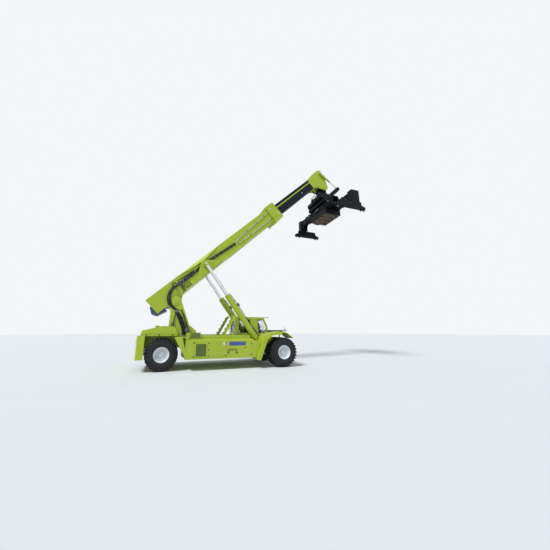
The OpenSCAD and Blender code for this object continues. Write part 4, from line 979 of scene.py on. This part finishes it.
def add_pad(name, low, high, lean, cap, round_off, axis, seams, replaces=()):
    """A stuffed pad between two corners, leaned about its foot, with sewn channels at places along an axis."""
    (mesh,) = new_meshes(1)
    inset = cap * 0.8
    add_box(mesh, [a + inset for a in low], [b - inset for b in high], Matrix.Identity(4))
    bmesh.ops.bevel(
        mesh, geom=list(mesh.edges), offset=round_off, segments=4, profile=0.5, affect="EDGES", material=-1
    )
    data = bpy.data.meshes.new(name)
    mesh.transform(TO_METRES)
    mesh.to_mesh(data)
    mesh.free()
    pad = bpy.data.objects.new(name, data)
    bpy.context.scene.collection.objects.link(pad)
    remesh = pad.modifiers.new("Remesh", "REMESH")
    remesh.mode = "VOXEL"
    remesh.voxel_size = PAD_VOXEL
    bpy.context.view_layer.update()
    even = bpy.data.meshes.new_from_object(pad.evaluated_get(bpy.context.evaluated_depsgraph_get()))
    pad.modifiers.clear()
    pad.data = even
    swell(pad, cap / 1000)
    # sewn channels: the thickness is drawn in along lines across the pad
    thick = 2 - axis
    middle = (low[thick] + high[thick]) / 2000
    for seam, vertex in product(seams, pad.data.vertices):
        away = abs(vertex.co[axis] * 1000 - seam)
        if away < SEAM_REACH:
            pull = 0.5 + 0.5 * math.cos(math.pi * away / SEAM_REACH)
            vertex.co[thick] += (middle - vertex.co[thick]) * SEAM_DEPTH * pull
    pad.data.transform(Matrix.Translation((REAR_AXLE_X, 0, 0)) @ lean)
    pad.data.materials.clear()
    pad.data.materials.append(FINISHES["seat cloth"])
    pad.data.shade_smooth()
    finer = pad.modifiers.new("Finer", "SUBSURF")
    finer.levels = finer.render_levels = 1
    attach(pad, "chassis")
    if replaces:
        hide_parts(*replaces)


class STACKER_OT_cab(bpy.types.Operator):
    """Adds the window seals, the visor, the rails, the wiper and what shows inside the cab"""

    bl_idname = "stacker.cab"
    bl_label = "Cab Fittings"

    def execute(self, context):
        seals, rails, trim, steel, glass, bead, handle, inside, knobs, stand = new_meshes(10)
        foot, top = WINDOW_FOOT, WINDOW_TOP
        rear_window = [(4300, foot), (5000, foot), (5000, top), (4300, top)]
        front_window = [
            (5530, foot), (5530, top), (CAB_FRONT - 210, top), (CAB_FRONT - 140, 2540), (CAB_FRONT - 28, 2320),
            (CAB_FRONT - 5, 2130), (CAB_FRONT - 40, foot),
        ]
        for s in SIDES:
            add_seal(seals, rear_window, s * (CAB_Y - 3))
            add_seal(seals, front_window, s * (CAB_Y - 3))
            # sliding pane's bar in the rear side window
            add_bar(seals, (4660, s * (CAB_Y - 22), foot + 5), (0, 0, top - foot - 10), 10, 8)
            # grab rails beside the door, and side brackets of the visor
            y = s * 610
            add_tube(rails, [
                (4076, y, 1480), (4030, y, 1500), (4016, y, 1560), (4016, y, 2340), (4030, y, 2400), (4076, y, 2420),
            ], 13)
            add_plate(trim, [(6120, 2806), (6160, 2806), (6330, 2862), (6330, 2880), (6160, 2846)], s * 612, s * 604)
            # arm rests on their posts
            add_box(inside, (4430, s * 300, 1840), (4900, s * 400, 1930))
            add_box(inside, (4480, s * 310, CAB_FLOOR), (4700, s * 390, 1840))
        # visor over the windscreen, and the wiper
        add_plate(trim, [(6150, 2842), (6334, 2874), (6334, 2882), (6150, 2850)], -612, 612)
        add_bar(steel, (6092, 40, 1786), (36, 0, 4), 24, 20)
        add_tube(steel, [(6128, 40, 1800), (6160, 60, 1960), (6190, 110, 2130), (6178, 150, 2300)], 7, fineness=3)
        add_bar(steel, (6186, 122, 1960), (18, 28, 170), 7, 8)
        add_bar(steel, (6204, 150, 2130), (-26, 40, 230), 7, 8)

        # door: glass, bead and handle
        add_box(glass, (4098, -349, 1951), (4104, 349, DOOR_TOP - 1))
        corners = [(-350, 1950), (350, 1950), (350, DOOR_TOP), (-350, DOOR_TOP)]
        for (y, z), (next_y, next_z) in zip(corners, corners[1:] + corners[:1]):
            add_bar(bead, (4080, y, z), (0, next_y - y, next_z - z), 9, 8)
        bow = ((4078, 1700), (4046, 1712), (4040, 1780), (4046, 1848), (4078, 1860))
        add_tube(handle, [(x, 372, z) for x, z in bow], 9)
        add_pieces(
            "cab_door_leaf",
            (glass, "door_window", "safety glass"),
            (bead, "door_seal", "hose rubber", 50),
            (handle, "door_handle", "dark plastic", 60),
        )

        # inside: lining, pedal step, console, screen and joystick
        paint_faces(
            "cab_shell",
            "cab lining",
            lambda at, way: (
                abs(at.y) < 640.5 and 4127 < at.x < 6150 and 1345 < at.z < 2795 and not (at.x > 5000 and way.x > 0.2)
            ),
        )
        add_box(inside, (5440, -430, CAB_FLOOR), (5900, 430, 1430))
        add_box(inside, (5600, 330, CAB_FLOOR), (5960, 600, 1820))
        add_box(inside, (4860, -470, 1930), (4930, -330, 2060))
        add_plate(inside, [(5560, 2060), (5700, 2100), (5690, 2320), (5550, 2280)], -560, -300)
        add_bar(knobs, (4840, -350, 1930), (20, 0, 160), 14, 16)
        knob = DRAWING @ Matrix.Translation((4862, -350, 2110))
        bmesh.ops.create_uvsphere(knobs, u_segments=20, v_segments=12, radius=34, matrix=knob)
        # steering wheel on its raked column
        rake = DRAWING @ Matrix.Translation((5362, 0, 2082)) @ Matrix.Rotation(math.radians(-16), 4, "Y")
        add_tube(knobs, [(x, y, 0) for x, y in circle(12, 190)], 15, rake, cyclic=True)
        for x, y in circle(3, 182, 0.5):
            add_bar(knobs, (0, 0, -8), (x, y, 8), 9, 8, rake)
        add_bar(knobs, (0, 0, -40), (0, 0, 50), 46, 28, rake, 40)
        # seat: sprung stand in its bellows, then cushion and back as stuffed pads
        for low in range(1400, 1688, 36):
            add_box(stand, (4520, -160, low), (4820, 160, low + 20))
            add_box(stand, (4530, -150, low + 20), (4810, 150, low + 36))
        add_box(stand, (4500, -178, CAB_FLOOR), (4840, 178, 1400))
        add_box(stand, (4500, -178, 1688), (4840, 178, 1719))
        add_pieces(
            "chassis",
            (seals, "window_seals", "hose rubber", 50),
            (rails, "grab_rails", "dark plastic", 60),
            (trim, "sun_visor", "dark plastic", None, 2),
            (steel, "screen_wiper", "dark plastic", 50),
        )
        add_piece(inside, "cab_consoles", "chassis", "cab lining", 30, 14, bevel_segments=3)
        add_piece(knobs, "cab_levers", "chassis", "dark plastic", 50, slot="dark_plastic")
        add_piece(stand, "seat_stand", "chassis", "dark plastic", 30, 4, slot="dark_plastic")
        level = Matrix.Identity(4)
        seat = ("operator_seat",)
        add_pad("seat_cushion", (4417, -258, 1722), (4913, 258, 1838), level, 16, 34, 0, (4560, 4770), seat)
        foot = Matrix.Translation((4.330, 0, 1.72))
        lean = foot @ Matrix.Rotation(math.radians(-5.95), 4, "Y") @ foot.inverted()
        add_pad("seat_back", (4334, -248, 1752), (4414, 248, 2550), lean, 12, 22, 2, (1990, 2260))
        return {"FINISHED"}


class STACKER_OT_head(bpy.types.Operator):
    """Adds the bolts, hoses and motors of the boom head, the hanger and the slewing gear"""

    bl_idname = "stacker.head"
    bl_label = "Head and Slewing Gear"

    def execute(self, context):
        bolts, pins, bows, ring, block, fittings, hoses = new_meshes(7)
        m, h = ALONG_BOOM, UNDER_HEAD
        for s in SIDES:
            bolt_circle(bolts, (HANG_PIN[0], s * 476, HANG_PIN[1]), s, 252, 8, 10, 8, m)
            add_bolts(bolts, [14040], [s * 441], (330, 560, 860, 1000), (0, s, 0), 14, 10, m)
            add_bar(bolts, (HANG_PIN[0], s * 470, HANG_PIN[1]), (0, s * 18, 0), 196, 56, m, 186)
            add_bar(pins, (15400, s * 620, 900), (0, s * 10, 0), 50, 32, m, 46)
            add_bar(pins, (15400, s * 464, 900), (0, s * 12, 0), 104, 48, m, 98)
            # pin keepers of the hanger
            bolt_circle(fittings, (1200, s * 681, 0), s, 88, 6, 11, 9, h)
            bolt_circle(fittings, (0, s * 291, 0), s, 210, 10, 14, 11, h)
        # short hoses that bow out of the front of the head, between its plates; their slate blue is a painted sky
        # reflection
        for k in range(3):
            y, back = -360 + 60 * k, 14 * k
            add_tube(bows, [
                (15360, y, 760), (15560, y, 740), (15760 - back, y, 600), (15800 - back, y, 420),
                (15690 - back, y, 230), (15500, y, 150), (15360, y, 140),
            ], 22, m)
        for z in (90, 700):
            add_box(bows, (15320, -400, z), (15370, -200, z + 100), m)
        add_pieces(
            "boom_extension",
            (bolts, "head_bolts", "painted steel, lime", 30),
            (pins, "head_pins", "ground pin steel", 30, 3),
            (bows, "head_bow_hoses", "painted steel, slate blue", 60),
        )

        # bolts of the slewing ring, left out where the hanger stands on it
        for x, y in circle(28, 548):
            if abs(x) > 230:
                add_bolts(ring, [x], [y], [-770], UP, 15, 12, h)
        # distribution blocks on the hanger, and their screwed unions
        add_box(block, (-380, -210, -700), (-251, 210, -430), h)
        add_box(block, (251, -170, -640), (330, 170, -470), h)
        for y in (-110, 0, 110):
            add_bar(block, (330, y, -555), (90, 0, 0), 30, 24, h)
        for k in range(6):
            y = -170 + 68 * k
            add_bar(fittings, (-316, y, -430), (0, 0, 32), 19, 6, h)
            for z in (-500, -610):
                add_bar(fittings, (-380, y, z), (-30, 0, 0), 17, 6, h)
            # hose from the boom head down to the block
            add_tube(hoses, [
                (-760 - 8 * k, y, 250), (-800, y, 60), (-760, y * 1.05, -160), (-600, y * 1.1, -330),
                (-430, y, -330), (-330, y, -352), (-316, y, -400),
            ], 17, h)
        add_pieces(
            "hanger",
            (ring, "ring_bolts", "forged steel", 30),
            (block, "hanger_valves", "cast iron, grey", 30, 4),
            (fittings, "hanger_fittings", "forged steel", 30),
        )
        piece = add_piece(hoses, "head_hoses", None, "hose rubber", 60)
        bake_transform(piece)

        # slewing gear: motor caps, brake discs, valve bank, hoses and lids on the case
        caps, bank, lines, lids = new_meshes(4)
        for x, y, high in ((-690, -420, 190), (-690, 420, 190), (760, -560, 50), (760, 560, 50)):
            for count, radius, z, size, height in ((8, 82, -1020, 10, 9), (6, 50, -1025 + high, 9, 7)):
                for out, across in circle(count, radius):
                    add_bolts(caps, [x + out], [y + across], [z], UP, size, height, h)
            add_bar(caps, (x, y - 70, -1060), (0, -58, 0), 24, 20, h)
        add_box(bank, (-790, -330, -1139), (-640, 330, -1030), h)
        for k in range(7):
            y = -285 + 95 * k
            add_bar(bank, (-715, y, -1030), (0, 0, 90), 24, 24, h)
            add_bar(caps, (-790, y, -1085), (-36, 0, 0), 18, 6, h)
            add_tube(lines, [
                (-824, y, -1085), (-880, y, -1100), (-900 - 6 * k, y, -1180), (-880, y * 0.96, -1290),
                (-850, y * 0.94, -1390),
            ], 14, h)
        for k, y in enumerate((-250, -90, 90, 250)):
            add_tube(lines, [
                (-700, y, -940), (-720 - 20 * k, y, -820), (-800, y * 1.05, -730 - 16 * k), (-880, y * 1.1, -830),
                (-880, y * 1.1, -1000), (-830, y, -1080),
            ], 15, h)
        for s in SIDES:
            add_tube(lines, [
                (700, s * 560, -1060), (620, s * 700, -1010), (420, s * 830, -1000), (100, s * 880, -1040),
                (-300, s * 820, -1060), (-560, s * 640, -1050), (-690, s * 540, -1040),
            ], 15, h)
            add_tube(lines, [
                (700, s * 500, -1110), (560, s * 760, -1080), (200, s * 920, -1080), (-260, s * 900, -1100),
                (-600, s * 700, -1100), (-650, s * 330, -1080),
            ], 13, h)
            add_box(lids, (60, s * 700, -1139), (300, s * 960, -1110), h)
            add_bolts(caps, (80, 280), (s * 720, s * 940), [-1110], UP, 10, 8, h)
            add_bolts(caps, (-700, -350, 0, 350, 700, 850), [s * 1001], (-1220, -1360), (0, s, 0), 14, 10, h)
        add_pieces(
            "slewing_unit",
            (caps, "slewing_bolts", "forged steel", 30),
            (bank, "slewing_valves", "cast iron, grey", 30, 4),
            (lines, "slewing_hoses", "hose rubber", 60),
            (lids, "slewing_lids", "painted steel, black", 30, 4),
        )
        return {"FINISHED"}


class STACKER_OT_spreader(bpy.types.Operator):
    """Adds the hoses, rods, bolts and covers of the spreader and its arms"""

    bl_idname = "stacker.spreader"
    bl_label = "Spreader Fittings"

    def execute(self, context):
        h = SPREADER_MIDDLE
        lines, valves, bolts, rods = new_meshes(4)
        # valve banks in the middle of the frame, beside the sleeves
        for s in SIDES:
            add_box(valves, (s * 720, -260, -2060), (s * 830, 260, -1990), h)
            for k in range(5):
                add_bar(valves, (s * 776, -200 + 100 * k, -1990), (0, 0, 40), 20, 20, h)
        for s, t in product(SIDES, SIDES):
            # hoses to both ends
            route = ((770, 420, 2060), (742, 700, 2100), (722, 1100, 2120), (716, 1700, 2120), (700, 1880, 2090))
            for k in range(3):
                start = [(s * 776, t * 262, -2045 + 22 * k)]
                add_tube(lines, start + [(s * x, t * y, 20 * k - z) for x, y, z in route], 9, h, 3)
            # rod ends and glands of the telescoping cylinders
            add_bar(rods, (s * 690, t * 1300, -1900), (0, t * 120, 0), 26, 24, h)
            add_bar(valves, (s * 690, t * 1290, -1900), (0, t * 30, 0), 48, 28, h, 42)
            # flange bolts of the sleeve mouths
            mouth = [s * 420 + x for x in (-240, -120, 0, 120, 240)]
            add_bolts(bolts, mouth, [t * 1901], (-1728, -2268), (0, t, 0), 11, 9, h)
        for s in SIDES:
            add_bolts(bolts, (-700, -420, -140, 140, 420, 700), [s * 1141], [-1670], (0, s, 0), 13, 10, h)
        add_pieces(
            "spreader",
            (lines, "spreader_hoses", "hose rubber", 60),
            (valves, "spreader_valves", "cast iron, grey", 30, 3),
            (bolts, "spreader_bolts", "forged steel", 30),
            (rods, "spreader_rods", "chromed steel", 30),
        )
        # the dusty brown pan under the frame
        paint_faces(
            "spreader_frame",
            "painted steel, dusty",
            lambda at, way: -2729 < at.z < -2245 and abs(at.x) < 699 and abs(at.y) < 999,
            h,
        )
        # end arms: hoses on the legs, lock covers and bolts, drawn for the right arm and turned for the left one
        for side, name in HANDS:
            a = h @ Matrix.Rotation(0 if side < 0 else math.pi, 4, "Z")
            hoses, covers, heads = new_meshes(3)
            for k in range(2):
                x = 320 + 40 * k
                add_tube(hoses, [(x, -2560, -1752), (x, -2620, -1718), (x, -2700, -1716), (x, -2860, -1728)], 9, a, 3)
                add_tube(hoses, [
                    (80, -2840, -2560 + 30 * k), (-40, -2840, -2610 + 24 * k), (-240, -2846, -2640 + 20 * k),
                    (-600, -2846, -2636 + 20 * k), (-820, -2846, -2640 + 20 * k),
                ], 8, a, 3)
            for s in SIDES:
                add_box(covers, (s * 960, -2990, -2982), (s * 1120, -2870, -2935), a)
                add_bar(covers, (s * 1060, -2926, -2950), (0, 0, 45), 44, 28, a, 38)
                add_box(covers, (s * 420, -2996, -2652), (s * 560, -2886, -2610), a)
                add_bolts(heads, [s * 990], (-2973, -2876), [-2935], UP, 9, 7, a)
                add_bolts(heads, (s * 640, s * 760), (-2890, -2970), [-2649], UP, 12, 9, a)
            for x, way in ((89, -1), (751, 1)):
                add_bolts(heads, [x], (-2700, -2940), (-2420, -2200, -1900), (way, 0, 0), 12, 9, a)
            add_pieces(
                "arm_" + name,
                (hoses, "arm_hoses_" + name, "hose rubber", 60),
                (covers, "lock_covers_" + name, "cast iron, grey", 30, 4),
                (heads, "arm_bolts_" + name, "forged steel", 30),
            )
        return {"FINISHED"}


# ---------------------------------------------------------------- panel and run

OPERATORS = (
    STACKER_OT_stage,
    STACKER_OT_finishes,
    STACKER_OT_wheels,
    STACKER_OT_body,
    STACKER_OT_tower,
    STACKER_OT_boom,
    STACKER_OT_cylinders,
    STACKER_OT_cab,
    STACKER_OT_head,
    STACKER_OT_spreader,
)
SETTINGS = {
    "stacker_stage": StackerStageSettings,
    "stacker_paint": StackerPaintSettings,
    "stacker_tyre": StackerTyreSettings,
}


class STACKER_PT_panel(bpy.types.Panel):
    """Lists the settings and the pieces of the reach stacker"""

    bl_idname = "STACKER_PT_panel"
    bl_label = "Reach Stacker"
    bl_space_type = "VIEW_3D"
    bl_region_type = "UI"
    bl_category = "Reach Stacker"

    def draw(self, context):
        column = self.layout.column(align=True)
        for group in SETTINGS:
            settings = getattr(context.scene, group)
            for name in settings.__annotations__:
                column.prop(settings, name)
        for operator in OPERATORS:
            column.operator(operator.bl_idname)


CLASSES = (*SETTINGS.values(), *OPERATORS, STACKER_PT_panel)


def register():
    for each in CLASSES:
        bpy.utils.register_class(each)
    for name, group in SETTINGS.items():
        setattr(bpy.types.Scene, name, PointerProperty(type=group))


def unregister():
    for name in SETTINGS:
        delattr(bpy.types.Scene, name)
    for each in reversed(CLASSES):
        bpy.utils.unregister_class(each)


def main():
    """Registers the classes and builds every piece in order."""
    register()
    for operator in OPERATORS:
        group, name = operator.bl_idname.split(".")
        getattr(getattr(bpy.ops, group), name)()


if __name__ == "__main__":
    main()
